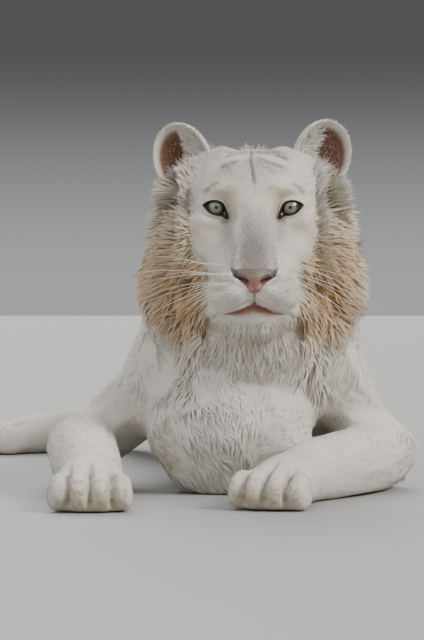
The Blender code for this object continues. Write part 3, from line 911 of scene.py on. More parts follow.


# Soft patches of the face: the middle and the reach of each, its strength and its colour. The grey ones are
# painted shade, beside the bridge at the eyes' inner corners and in the hollows under the eyes; the cream
# ones are the coat's own colour.
INNER_EYE_SHADE = [((0.040, -0.06, 0.395), (0.010, 0.08, 0.030), 0.45, GREY)]
FACE_TONES_AND_SHADE = [
    ((0.034, -0.04, 0.446), (0.016, 0.08, 0.020), 0.65, CREAM),
    ((0.046, -0.09, 0.325), (0.014, 0.08, 0.012), 0.40, CREAM),
    ((0.066, -0.05, 0.400), (0.024, 0.08, 0.016), 0.48, GREY),
    ((0.070, -0.05, 0.392), (0.026, 0.08, 0.018), 0.25, CREAM),
]


def patched(colours, points, face, patches):
    for middle, reach, strength, target in patches:
        colours = mixed(colours, face * bell(folded(points), middle, reach) * strength, target)
    return colours


def coat_colours(points, kind_here, tan_here):
    """The colour of the coat at some points of the skin, with all its markings and the shade painted on the
    face.
    """
    x, y, z = points.T
    aside = np.abs(x)
    colours = np.tile(WHITE, (len(points), 1))
    flecks = 0.5 + 0.5 * np.sin(61 * x + 3 * np.sin(47 * y)) * np.sin(53 * z + 2 * np.sin(71 * x))
    colours = mixed(colours, 0.16 * flecks, CREAM)
    # The ruff: deepest beside the jaw, paler towards its edge and above, gone on the chest.
    deep = np.exp(-(((aside - 0.096) / 0.045) ** 2) - (((z - 0.300) / 0.070) ** 2))
    reach = ramp(z, 0.215, 0.290) * (1 - 0.80 * ramp(z, 0.36, 0.46)) * (1 - ramp(y, 0.16, 0.32))
    reach *= 1 - 0.55 * ramp(aside, 0.135, 0.180)
    colours = mixed(colours, tan_here * reach * 0.90, CREAM)
    colours = mixed(colours, tan_here * reach * (0.22 + 0.70 * deep), TAN)
    face = (y < 0.06) & (z > 0.24) & (aside < 0.115)
    # Grey hairs down the bridge, deepened towards the nose with painted shade.
    bridge = (1 - ramp(aside, 0.004, 0.046)) * ramp(z, 0.328, 0.338) * (1 - 0.90 * ramp(z, 0.360, 0.465))
    colours = mixed(colours, face * bridge * 0.80, GREY)
    # painted shade in the hollows beside the bridge at the eyes' inner corners
    colours = patched(colours, points, face, INNER_EYE_SHADE)
    colours = mixed(colours, face * 0.16 * ramp(z, 0.455, 0.50) * (1 - ramp(aside, 0.05, 0.08)), GREY)
    # the coat's cream tones, and painted shade in the hollows under the eyes
    colours = patched(colours, points, face, FACE_TONES_AND_SHADE)
    flat = np.stack((x, z), axis=1)
    for path, width, strength in STRIPES:
        distance, along, _ = to_path(flat, path)
        ends = np.minimum(1, 5 * np.minimum(along, 1 - along) + 0.3)
        front = 1 - ramp(y, 0.035, 0.060) * (aside > 0.07)
        mark = strength * ends * hump(distance, width) * front * (y < 0.075) * (z > 0.35)
        colours = mixed(colours, mark, SMOKE)
    for inner, outer, count in WHISKER_ROWS:
        for share in np.linspace(0, 1, count):
            across, height = np.array(inner) * (1 - share) + np.array(outer) * share
            dot = np.exp(-(((aside - across) ** 2 + (z - height) ** 2) / 0.0013**2))
            colours = mixed(colours, dot * (y < -0.05) * 0.75, SMOKE)
    # Ghosts of stripes along the trunk and pale rings on the tail, as on the palest white tigers.
    back = ramp(y, 0.42, 0.55) * (1 - ramp(y, 1.30, 1.36)) * ramp(z, 0.10, 0.22)
    waves = np.sin(2 * math.pi * (y + 0.02 * np.sin(31 * z + 2 * y)) / 0.105 + 1.5 * np.sin(9 * z))
    colours = mixed(colours, 0.11 * back * ramp(waves, 0.70, 0.95), GREY)
    tail = np.char.startswith(kind_here.astype(str), "tail")
    _, along, _ = to_path(points, RUNS["tail"])
    rings = ramp(np.sin(2 * math.pi * along * 9), 0.45, 0.85)
    colours = mixed(colours, 0.17 * tail * rings, GREY)
    return colours


def ticked_share(points):
    """The share of grey hairs: most above the nose, fewer up the bridge and over the forehead."""
    x, y, z = points.T
    aside = np.abs(x)
    bridge = (1 - ramp(aside, 0.014, 0.038)) * ramp(z, 0.330, 0.338) * (0.65 - 0.50 * ramp(z, 0.35, 0.45))
    forehead = 0.10 * ramp(z, 0.45, 0.48) * (1 - ramp(aside, 0.04, 0.07))
    return (y < 0.06) * (z > 0.33) * np.maximum(bridge, forehead) * (z < 0.53)


def tan_of_skin():
    """1 on the ruff, fading over the neck and the cheeks' edges."""
    points = surface.points
    tan = (kinds == "ruff").astype(float)
    throat = np.isin(kinds, ("neck", "chest", "lower_jaw")) & (points[:, 2] > 0.20) & (points[:, 1] < 0.20)
    tan[throat & (points[:, 2] < 0.30) & (points[:, 1] > -0.055)] = 0.75
    tan[(kinds == "neck") & (points[:, 2] > 0.30)] = 0.25
    edge = (kinds == "head") & (np.abs(points[:, 0]) > 0.088) & (points[:, 1] > -0.005)
    tan[edge & (points[:, 2] < 0.38)] = 0.5
    return np.maximum(surface.spread(tan, 16), CHEEK_RUFF)


def paw_colours(colours):
    """Buff tips on the toes, and the shade that lies in the grooves between them."""
    points = surface.points
    for _, tips, _ in PAWS:
        near = 1 - ramp(np.hypot(*(points[:, :2] - tips).T), 0.030, 0.075)
        colours = mixed(colours, 0.55 * near * (1 - ramp(points[:, 2], 0.018, 0.050)), CREAM * 0.85)
    return mixed(colours, 0.35 * np.max(GROOVES, axis=0), GREY)


TAN_SHARE = tan_of_skin()
TICKED = ticked_share(surface.points)
COLOURS = paw_colours(coat_colours(surface.points, kinds, TAN_SHARE))


def bare_skin_colours():
    """The skin under the coat, with its bare places: nostrils, whose dark is painted shade, lips, lid edges
    and the ears' insides.
    """
    points = surface.points
    # The skin is painted a little darker than the coat, but up to about 8% lighter under the ruff: painted
    # light that lifts the shade between the long locks.
    colours = COLOURS * (0.94 + 0.14 * TAN_SHARE)[:, None]
    colours = mixed(colours, by_opening(points, 0.0010, 0.0016), DARK_RIM)
    distance, along, _ = to_path(folded(points), MOUTH)
    colours = mixed(colours, LIP_SHARE, LIP)
    parting = 0.7 * hump(distance, 0.0017) * (1 - ramp(along, 0.55, 0.75))
    colours = mixed(colours, parting, LIP * 0.35)
    # painted shade inside the nostrils' openings
    colours = mixed(colours, nostril_share(points), NOSTRIL_SHADE)
    colours = mixed(colours, EAR_INSIDE, EAR_PINK)
    colours = mixed(colours, EAR_INSIDE * EAR_HOLLOW_SHADE, EAR_SHADE)
    return colours


def nostril_share(points):
    """1 within the nostrils, which widen towards their lower ends."""
    distance, along, _ = to_path(folded(points), NOSTRIL)
    half = np.interp(along, np.linspace(0, 1, len(NOSTRIL_HALF)), NOSTRIL_HALF)
    return 1 - ramp(distance, half - 0.0003, half + 0.0012)


def lip_share():
    """Where the skin is bare lip: the lower lip and the groove under the nose."""
    points = folded(surface.points)
    x, y, z = points.T
    line = np.interp(x, MOUTH[:, 0], MOUTH[:, 2])
    lowest = np.interp(x, *np.transpose(LIP_BOTTOM))
    below = ramp(line - z, -0.0008, 0.0012) * ramp((z - lowest) / (line - lowest + 1e-6), -0.15, 0.75)
    groove = 0.8 * hump(x, 0.0018) * (z > 0.288) * (z < 0.305)
    return np.maximum(below * (1 - ramp(x, 0.042, 0.052)), groove) * (y < -0.06)


def in_ear(name):
    """The skin's points in an ear's own space, with X outwards, and which of them are the ear's."""
    local = surface.points - EAR_PLACE[name]
    for axis in (2, 1, 0):
        back = [0.0, 0.0, 0.0]
        back[axis] = -ear_lean(name)[axis]
        local = turned(local, back)
    mine = (kinds == "ear") & (surface.points[:, 0] * SIDES[name] > 0)
    return local * (SIDES[name], 1, 1), mine


def ear_inside():
    """1 within the hollows of the ears, and how deep in shade each place there is."""
    share, shade = np.zeros(len(surface.points)), np.zeros(len(surface.points))
    for name in SIDES:
        local, mine = in_ear(name)
        across = np.hypot(local[:, 0] / EAR_RADII[0], local[:, 2] / EAR_RADII[2])
        hollow = (local[:, 1] < 0.014) * (1 - ramp(across, 0.70, 0.86))
        share = np.maximum(share, mine * hollow)
        low = bell(local, (-0.002, 0.0, -0.010), (0.026, 0.1, 0.034))
        shade = np.maximum(shade, mine * low)
    return share, shade


def leather_share(points):
    """1 within the outline of the nose leather in front view."""
    outline = np.array(LEATHER)
    rim = np.vstack((outline, outline[::-1] * (-1, 1)))
    inside = np.zeros(len(points), bool)
    for start, end in zip(rim, np.roll(rim, -1, axis=0)):
        inside ^= crosses(points[:, 0], points[:, 2], start, end)
    return inside & (points[:, 1] < -0.10)


LIP_SHARE = lip_share()
EAR_INSIDE, EAR_HOLLOW_SHADE = ear_inside()
EAR_COLOURS = mixed(COLOURS, 0.85 * EAR_INSIDE, EAR_PINK * 1.25)


# Tufts

def bare_share():
    """1 where no coat grows: nose leather, nostrils, lips and lids' edges."""
    points = surface.points
    bare = np.where(by_opening(points, 0.0016, 0.0036), 1.0, 0.0)
    bare = np.maximum(bare, leather_share(points))
    bare = np.maximum(bare, np.where(LIP_SHARE > 0.85, 1.0, 0.75 * LIP_SHARE))
    return np.maximum(bare, nostril_share(points) > 0.5)


BARE = bare_share()
FLATNESS = 0.45  # height of a tuft's section over half its width
BAKE_PATCH = 0.003  # side of each tuft's patch in the unwrap of the skin
STRANDS = 7  # hairs across a tuft, as its material draws them
STRAY_SHARE = 0.16  # of the tufts that stand out from the rest
STRAY_LIFT = 2.4  # how many times more they rise


def scatter(triangles, count, density):
    """Places roots over some of the skin's triangles, evenly by area and density of growth."""
    corners = surface.points[triangles]
    area = np.linalg.norm(np.cross(corners[:, 1] - corners[:, 0], corners[:, 2] - corners[:, 0]), axis=1)
    total = np.cumsum(area * density)
    at = (np.arange(count) + rng.random(count)) / count * total[-1]
    chosen = np.minimum(np.searchsorted(total, at), len(triangles) - 1)
    one, other = rng.random(count), rng.random(count)
    flip = one + other > 1
    one[flip], other[flip] = 1 - one[flip], 1 - other[flip]
    weights = np.stack((1 - one - other, one, other), axis=1)
    return triangles[chosen], weights


def at_roots(values, corners, weights):
    """Values given on the skin's points, worked out at the tufts' roots."""
    picked = values[corners]
    if values.ndim == 1:
        return np.sum(picked * weights, axis=1)
    return np.sum(picked * weights[:, :, None], axis=1)


CELL_PRIMES = np.array((73856093, 19349663, 83492791))


def in_clumps(places, size):
    """Numbers the clump of each place: cells of a grid that is wavy, so that no rows show."""
    wavy = places + 0.35 * size * np.sin(places[:, [1, 2, 0]] * (2 * math.pi / (3.7 * size)))
    cells = np.floor(wavy / size).astype(np.int64)
    _, numbers = np.unique(np.bitwise_xor.reduce(cells * CELL_PRIMES, axis=1), return_inverse=True)
    return numbers


def clump_means(values, numbers):
    """For each row of values, the mean over its clump."""
    count = np.bincount(numbers)
    return np.stack([np.bincount(numbers, column) / count for column in values.T], axis=1)[numbers]


def growing_places(growing, count):
    """Roots for tufts, with their corners and weights on the skin."""
    triangles = surface.triangles[growing[surface.triangles].min(axis=1) > 0]
    return scatter(triangles, count, growing[triangles].mean(axis=1))


def coat_piece(name, rings, rows, spots, material):
    """Builds tufts from their rings: three points round each, and one at the tip.

    Each row gives the place, the heading that the light sees and the colour of one point in all the tufts.
    """
    per_tuft = 3 * rings + 1
    count = len(spots)
    places, facing, tints = (np.stack(values, axis=1) for values in zip(*rows))
    points = places.reshape(-1, 3)
    points[:, 2] = np.maximum(points[:, 2], TUFT_FLOOR)
    faces = [(0, 2, 1)]
    for ring in range(rings - 1):
        base = 3 * ring
        for i in range(3):
            j = (i + 1) % 3
            faces += [(base + i, base + 3 + j, base + 3 + i), (base + i, base + j, base + 3 + j)]
    last = 3 * (rings - 1)
    faces += [(last + i, last + (i + 1) % 3, last + 3) for i in range(3)]
    all_faces = (np.array(faces)[None] + per_tuft * np.arange(count)[:, None, None]).reshape(-1, 3)
    mesh = mesh_of(name, points, all_faces)
    # The upper faces are lit as the coat is; the root's end and the faces below look the other way.
    tufts = points.reshape(count, per_tuft, 3)
    normals = facing.reshape(-1, 3)[all_faces].reshape(count, len(faces), 3, 3)
    on_ridge = [any(corner % 3 == 2 and corner < 3 * rings for corner in face) for face in faces]
    under = [i for i, above in enumerate(on_ridge) if not above]
    normals[:, 0] = -unit(tufts[:, -1] - tufts[:, 0])[:, None]
    normals[:, under] = -facing[:, None, 2:3]
    mesh.normals_split_custom_set(normals.reshape(-1, 3).tolist())
    paint(mesh, tints.reshape(-1, 3))
    within = np.array([((0, 2, 1)[i % 3] * STRANDS / 2, i // 3 / rings, 0) for i in range(per_tuft)])
    within[-1] = (STRANDS / 2, 1, 0)
    strand = mesh.attributes.new("strand", "FLOAT_VECTOR", "POINT")
    offset = np.stack([rng.uniform(0, 90, count) for _ in range(3)], axis=1)
    strand.data.foreach_set("vector", (within[None] + offset[:, None]).astype(np.float32).ravel())
    layer = mesh.uv_layers.new(name="OFBake")
    patch = BAKE_PATCH * (np.array([((i % 3) / 2, i // 3 / rings) for i in range(per_tuft)]) - 0.5)
    patches = (spots[:, None] + patch[None]).reshape(-1, 2)
    layer.data.foreach_set("uv", np.clip(patches[all_faces.ravel()], 0, 1).astype(np.float32).ravel())
    add_piece(name, mesh, "coat", material)


def grow(name, growing, count, rings, material, clump=0.014, gather=0.45, ruffle=0.08, droop=0.0, scale=1.0,
         rise=1.0, lighten=0.25, lie=None, hue=None, wavy=0.05, breadth=1.0, settle=0.5):
    """A piece of coat: flat tufts that widen from the root and taper to the tip along the lie of the coat.

    clump is the size of the clumps and gather how far the tips close up in them, ruffle how unevenly the
    tufts head, droop how far the tips hang, settle how flat they end, wavy how much they curl sideways, and
    lighten how white the tips are. scale, breadth and rise change the skin's own sizes, and lie and hue
    replace its own.
    """
    lie = LIE if lie is None else lie
    corners, weights = growing_places(growing, count)
    root = at_roots(surface.points, corners, weights)
    up = unit(at_roots(NORMALS, corners, weights))
    along = unit(at_roots(lie, corners, weights))
    length, half, lift = at_roots(SIZES, corners, weights).T
    length = scale * length * rng.uniform(0.70, 1.15, count)
    half = breadth * half * rng.uniform(0.7, 1.3, count)
    lift = rise * lift * rng.uniform(0.6, 1.4, count)
    lift = lift * np.where(rng.random(count) < STRAY_SHARE, STRAY_LIFT, 1.0)
    numbers = in_clumps(root, clump)
    sway = rng.normal(0, 1, (numbers.max() + 1, 3))[numbers]
    along = along + ruffle * (1.4 * sway + 0.8 * rng.normal(0, 1, (count, 3)))
    along = unit(along - up * np.sum(along * up, axis=1)[:, None])
    across = np.cross(up, along)
    to_clump = clump_means(root, numbers) - root
    sunk = np.minimum(0.0010, 0.10 * length)
    bend = rng.normal(0, 0.07, count) + 0.10 * sway[:, 0]
    swing = 1.5 * sway[:, 1] + rng.normal(0, 0.5, count)
    hue = at_roots(COLOURS if hue is None else hue, corners, weights)
    hue = hue * (rng.uniform(0.88, 1.05, count) * (1 + 0.035 * sway[:, 2]))[:, None]
    ticked = rng.random(count) < at_roots(TICKED, corners, weights)
    hue[ticked] = hue[ticked] * 0.35 + GREY * 0.45
    steps = [ring / rings for ring in range(rings)] + [1.0]
    rows = []
    for t in steps:
        middle = root + length[:, None] * (along * (np.cos(lift) * t)[:, None]
                                           + up * (np.sin(lift) * (t - settle * t * t))[:, None])
        middle -= up * (sunk * (1 - t))[:, None]
        aside_now = length * (bend * t * t + wavy * np.sin(5.0 * t + swing) * t)
        middle += across * aside_now[:, None]
        middle += to_clump * gather * t**1.5
        middle[:, 2] -= droop * length * t * t
        tint = hue * (0.88 + 0.12 * t)
        tint = tint + (WHITE * 1.03 - tint) * lighten * t * t
        ridge = up - along * (0.4 * lift * (1 - t))[:, None]
        if t == 1.0:
            rows.append((middle, unit(ridge), tint))
            break
        width = half * (0.55 + 0.9 * t if t < 0.5 else 1.9 * (1 - t)) * (1.0 if rings > 1 else 1.15)
        for aside, above in ((-1, 0), (1, 0), (0, FLATNESS)):
            place = middle + across * (aside * width)[:, None] + up * (above * width)[:, None]
            rows.append((place, unit(ridge + 0.55 * aside * across), tint))
    coat_piece(name, rings, rows, at_roots(UNWRAP, corners, weights), material)


def box_unwrap():
    """Flattens the skin: each point goes to the one of six tiles that its side of the body faces."""
    points = surface.points
    low, high = points.min(axis=0), points.max(axis=0)
    share = (points - low) / (high - low).max()
    facing = np.argmax(np.abs(NORMALS), axis=1)
    positive = NORMALS[np.arange(len(points)), facing] > 0
    first, second = np.array((1, 0, 0))[facing], np.array((2, 2, 1))[facing]
    rows = np.arange(len(points))
    tile = np.stack((facing / 3, positive * 0.5), axis=1)
    return tile + np.stack((share[rows, first], share[rows, second]), axis=1) * 0.32 + 0.004


UNWRAP = box_unwrap()


def local_to_body(headings, name):
    """Headings given in an ear's own space, turned into the tiger's."""
    return turned(headings * (SIDES[name], 1, 1), ear_lean(name))


def growing_on(*names):
    """1 where the coat of these parts of the body grows."""
    return np.isin(kinds, names) * (1.0 - BARE)


def whisker_paths():
    """The whiskers' roots, headings and lengths: four rows on each side, longest at the back."""
    roots, headings, lengths = [], [], []
    for side, level in ((-1, 0.10), (1, -0.30)):
        for row in range(4):
            for step in range(6):
                back = step / 5
                height = WHISKER_TOP - 0.0120 * row + 0.0025 * back
                roots.append((side * (0.036 + 0.029 * back), height))
                tilt = 0.22 - 0.20 * row + level + rng.normal(0, 0.07)
                headings.append(unit(np.array((side, -0.50 + 0.45 * back + rng.normal(0, 0.05), tilt))))
                lengths.append((0.045 + 0.085 * back) * (1 - 0.12 * abs(row - 1.5)) * rng.uniform(0.85, 1.2))
    return np.array(roots), np.array(headings), np.array(lengths)


def brow_paths():
    """A few long hairs over each eye."""
    roots, headings, lengths = [], [], []
    for side in SIDES.values():
        for step in range(5):
            roots.append((side * (0.046 + 0.006 * step), 0.451 + 0.002 * step))
            headings.append(unit(np.array((side * (0.25 + 0.12 * step), -0.55, 0.75))))
            lengths.append(0.040 * rng.uniform(0.7, 1.2))
    return np.array(roots), np.array(headings), np.array(lengths)


def beard_paths():
    """The wiry hairs of the chin."""
    count = 70
    across = rng.uniform(-1, 1, count)
    roots = np.stack((0.030 * across, 0.252 + 0.010 * rng.random(count)), axis=1)
    forward = -0.35 + rng.normal(0, 0.1, count)
    headings = unit(np.stack((0.45 * across, forward, np.full(count, -1.0)), axis=1))
    return roots, headings, 0.024 * rng.uniform(0.6, 1.3, count)


def make_whiskers(material):
    """Whiskers, brow hairs and chin hairs: thin tapering stems that arch out and hang."""
    found = [whisker_paths(), brow_paths(), beard_paths()]
    roots, headings, lengths = (np.concatenate(rows) for rows in zip(*found))
    tree = BVHTree.FromPolygons(surface.points.tolist(), surface.triangles.tolist())
    hits = [tree.ray_cast(Vector((x, -0.5, z)), Vector((0, 1, 0))) for x, z in roots]
    start = np.array([hit[0] for hit in hits]) - headings * 0.0015
    nearest = surface.triangles[[hit[2] for hit in hits], 0]
    rings, count = 12, len(roots)
    thick = np.where(lengths > 0.038, 0.00050, 0.00030)
    arch = np.array((0, 0.30, -0.22))
    curl = rng.normal(0, 0.05, (count, 3))
    shade = np.tile(WHITE * 1.08, (count, 1))
    rows = []
    for ring in range(rings + 1):
        t = ring / rings
        spine = start + lengths[:, None] * (headings * t + arch * t * t + curl * t * t)
        ahead = unit(headings + 2 * t * (arch + curl))
        across = unit(np.cross(ahead, (0.0, 0.0, 1.0)))
        above = np.cross(ahead, across)
        if ring == rings:
            rows.append((spine, above, shade))
            break
        width = (thick * (1 - 0.85 * t))[:, None]
        for turn in (0.5, 2.5944, 4.6888):
            out = across * math.cos(turn) + above * math.sin(turn)
            rows.append((spine + out * width, out, shade))
    coat_piece("whiskers", rings, rows, UNWRAP[nearest], material)


def clothe_head(material):
    """Grows the coat of the face, cheeks, crown, chin, ruff and ears."""
    points = surface.points
    head = growing_on(*HEAD_KINDS)
    long_share = ramp(CHEEK_RUFF, 0.25, 0.6)
    face = head * (1 - long_share)
    front = ramp(0.055 - points[:, 1], 0, 0.02)
    edge = ramp(CHEEK_EDGE, 0.02, 0.5)
    ruff = np.maximum(growing_on("ruff"), head * long_share)
    grow("coat_face", face * front * (1 - 0.6 * edge), 40000, 1, material,
         clump=0.006, gather=0.15, lighten=0.1, settle=0.8)
    grow("coat_cheeks", face * edge, 11500, 2, material, clump=0.010, gather=0.12, lighten=0.2, wavy=0.07)
    grow("coat_crown", face * (1 - front) * (1 - edge), 3000, 2, material,
         clump=0.010, gather=0.3, rise=0.15, scale=0.7)
    chin = growing_on("lower_jaw") * (points[:, 2] < 0.262) * (np.abs(points[:, 0]) < 0.045)
    grow("coat_chin", chin, 1500, 3, material, clump=0.008, droop=0.25, scale=1.15, ruffle=0.16)
    for name, side in SIDES.items():
        mine = ramp(side * points[:, 0], -0.002, 0.002)
        grow(f"coat_ruff_{name}", ruff * mine, 18500, 2, material,
             clump=0.012, gather=0.30, droop=0.06, lighten=0.35, ruffle=0.10, wavy=0.07)
        ear = growing_on("ear") * mine
        grow(f"coat_ear_{name}", ear * np.where(EAR_INSIDE > 0.3, 0.25, 1.0), 4500, 1, material,
             clump=0.006, gather=0.2, hue=EAR_COLOURS)
        local, _ = in_ear(name)
        medial = ear * (EAR_INSIDE > 0.15) * (local[:, 0] < -0.016) * (local[:, 2] < 0.036)
        fan = np.zeros_like(points) + (0.9, -0.5, 0)
        fan[:, 2] = 0.55 - 6 * local[:, 2]
        grow(f"coat_ear_wisps_{name}", medial, 450, 3, material,
             clump=0.008, gather=0.5, ruffle=0.14, scale=3.2, rise=1.8, lie=unit(local_to_body(fan, name)),
             lighten=0.5, wavy=0.10, hue=np.tile(WHITE * 0.96, (len(points), 1)), breadth=0.6)


def clothe_body(material):
    """Grows the coat of the neck, trunk, legs and tail, thin where the body rests on the floor."""
    lower = 1 - ramp(surface.points[:, 2], 0.002, 0.012)
    open_air = 1 - 0.85 * lower * (NORMALS[:, 2] < -0.6)
    grow("coat_neck", growing_on("neck"), 6000, 2, material, clump=0.016, gather=0.35, settle=0.8)
    grow("coat_chest", growing_on("chest") * open_air, 10500, 2, material,
         clump=0.014, gather=0.30, settle=0.8)
    grow("coat_flanks", growing_on("belly") * open_air, 20500, 1, material, clump=0.020, settle=0.8)
    grow("coat_rump", growing_on("rump") * open_air, 18500, 1, material, clump=0.020, settle=0.8)
    for name in SIDES:
        mine = np.char.endswith(solids.astype(str), name)
        arm = growing_on("upper_arm", "forearm") * open_air * mine
        grow(f"coat_foreleg_{name}", arm, 21000, 1, material, clump=0.014, settle=0.8)
        paw = growing_on("forepaw") * open_air * mine
        grow(f"coat_forepaw_{name}", paw, 10000, 1, material, clump=0.008, gather=0.25, settle=0.8)
        leg = growing_on(*KINDS_OF_RUN["hind_leg"]) * open_air * mine
        grow(f"coat_hind_leg_{name}", leg, 17000, 1, material, clump=0.016, settle=0.8)
    tail = growing_on(*KINDS_OF_RUN["tail"]) * open_air
    grow("coat_tail", tail, 11000, 1, material, clump=0.012, settle=0.8)


# Materials

def set_inputs(node, inputs):
    for label, value in inputs.items():
        node.inputs[label].default_value = value


def principled(name, roughness, gloss):
    """A new material with its tree and its shader, whose inputs are set by name."""
    made = bpy.data.materials.new(name)
    made.use_nodes = True
    shader = made.node_tree.nodes["Principled BSDF"]
    set_inputs(shader, {"Roughness": roughness, **gloss})
    return made, made.node_tree, shader


def value_of(tree, kind, **inputs):
    """A new node whose inputs are set by name."""
    node = tree.nodes.new(kind)
    set_inputs(node, {label.replace("_", " "): value for label, value in inputs.items()})
    return node


def mottled(tree, shader, vector, scale, low, high, depth, detail):
    """Varies the painted colour between two shares of itself with fine noise, which is raised as bump too."""
    link = tree.links.new
    colour = tree.nodes.new("ShaderNodeAttribute")
    colour.attribute_name = "tint"
    noise = value_of(tree, "ShaderNodeTexNoise", Scale=scale, Detail=detail, Roughness=0.6)
    link(vector, noise.inputs["Vector"])
    shares = value_of(tree, "ShaderNodeMapRange", From_Min=0.3, From_Max=0.7, To_Min=low, To_Max=high)
    link(noise.outputs["Fac"], shares.inputs["Value"])
    scaled = tree.nodes.new("ShaderNodeVectorMath")
    scaled.operation = "SCALE"
    link(colour.outputs["Color"], scaled.inputs[0])
    link(shares.outputs["Result"], scaled.inputs["Scale"])
    link(scaled.outputs["Vector"], shader.inputs["Base Color"])
    bump = value_of(tree, "ShaderNodeBump", Strength=0.6, Distance=depth)
    link(noise.outputs["Fac"], bump.inputs["Height"])
    link(bump.outputs["Normal"], shader.inputs["Normal"])


# Of each material: roughness and gloss, the grain's scale, the least and the greatest share of the painted
# colour that it shows, the depth of its bump and the detail of its noise.
MATERIALS = {
    # The short dense undercoat, with fine soft grain.
    "skin": (0.80, {"Sheen Weight": 0.06, "Sheen Roughness": 0.5, "Specular IOR Level": 0.15},
             620.0, 0.86, 1.06, 0.0011, 3.0),
    # Tufts drawn as bundles of fine hairs, streaked from root to tip, with the soft sheen of fur.
    "coat": (0.72, {"Sheen Weight": 0.08, "Sheen Roughness": 0.40, "Specular IOR Level": 0.15},
             1.0, 0.86, 1.07, 0.0006, 3.0),
    # The wet eye: its painted iris under a clear shining film.
    "wet_eye": (0.30, {"Coat Weight": 1.0, "Coat Roughness": 0.03}, 1500.0, 0.80, 1.15, 0.0001, 3.0),
    # Bare dark eyelid skin, finely wrinkled and moist.
    "lid_rim": (0.40, {"Coat Weight": 0.15, "Coat Roughness": 0.3}, 900.0, 0.7, 1.3, 0.0006, 3.0),
    # Moist nose leather: pebbled, blotched and a little shiny.
    "nose_leather": (0.38, {"Coat Weight": 0.30, "Coat Roughness": 0.25}, 700.0, 0.72, 1.12, 0.0009, 2.0),
}


def make_material(name):
    """One of the materials. The coat's grain follows each tuft, and that of the others their place."""
    roughness, gloss, *grain = MATERIALS[name]
    made, tree, shader = principled(name, roughness, gloss)
    if name == "coat":
        strand = tree.nodes.new("ShaderNodeAttribute")
        strand.attribute_name = "strand"
        vector = strand.outputs["Vector"]
    else:
        vector = tree.nodes.new("ShaderNodeTexCoord").outputs["Object"]
    mottled(tree, shader, vector, *grain)
    return made


# Eyes

def make_eye(side, name, material):
    """The wet front of an eye as a polar sheet closed by a dome behind, with its iris and pupil painted."""
    pupil, iris = PUPIL_RADIUS, IRIS_RADIUS
    radii = [0.0008, 0.0016, 0.0024, pupil - 0.0002, pupil + 0.0002]
    radii += list(np.linspace(pupil + 0.0010, iris - 0.0010, 10)) + [iris - 0.0003, iris + 0.0003]
    radii += list(np.linspace(iris + 0.0012, 0.0240, 12))
    sectors = 96
    turn = np.arange(sectors) * 2 * math.pi / sectors
    rows = [np.array([[0.0, eye_surface(0.0, 0.0), 0.0]])]
    for radius in radii:
        u, v = radius * np.cos(turn), radius * np.sin(turn)
        rows.append(np.stack((u, eye_surface(u, v), v), axis=1))
    rim = rows[-1]
    for share in (0.85, 0.6, 0.3):
        row = rim * (share, 1, share)
        row[:, 1] = rim[:, 1] + 0.004 + 0.010 * (1 - share)
        rows.append(row)
    rows.append(np.array([[0.0, rows[-1][:, 1].max() + 0.001, 0.0]]))
    points = np.vstack(rows)
    triangles = [(0, 1 + (i + 1) % sectors, 1 + i) for i in range(sectors)]
    for ring in range(len(rows) - 3):
        triangles += halved(quads_between(1 + ring * sectors, 1 + (ring + 1) * sectors, sectors))
    last = len(points) - 1
    start = last - sectors
    triangles += [(start + i, start + (i + 1) % sectors, last) for i in range(sectors)]
    radius = np.hypot(points[:, 0], points[:, 2])
    angle = np.arctan2(points[:, 2], points[:, 0])
    fibres = 0.5 + 0.5 * np.sin(17 * angle + 3 * np.sin(5 * angle)) * np.sin(29 * angle + 1.3)
    share = ramp(radius, pupil, iris)[:, None]
    colours = (IRIS_INNER * (1 - share) + IRIS_OUTER * share) * (0.86 + 0.22 * fibres[:, None])
    colours *= (1 - 0.85 * ramp(radius, iris - 0.0026, iris))[:, None]
    colours[radius < pupil] = PUPIL_DARK
    colours[radius > iris] = WET_FLESH
    colours[len(points) - 3 * sectors - 1:] = WET_FLESH
    points *= (side, 1, 1)
    points += (side * EYE_APART / 2, 0, EYE_HEIGHT)
    triangles = np.array(triangles)
    if side > 0:
        triangles = triangles[:, ::-1]
    mesh = mesh_of(f"eyeball_{name}", points, triangles)
    paint(mesh, colours)
    add_piece(f"eyeball_{name}", mesh, "eye", material, f"eye_{name}")


# Across the lids' band: how far out, as a share of its width, and how far in front of the lids' outer face.
RIM_SECTION = [
    (-0.42, -0.0016), (-0.22, 0.0004), (0.25, 0.0016), (0.70, 0.0014), (1.0, 0.0002), (0.9, -0.0020),
    (0.0, -0.0034),
]


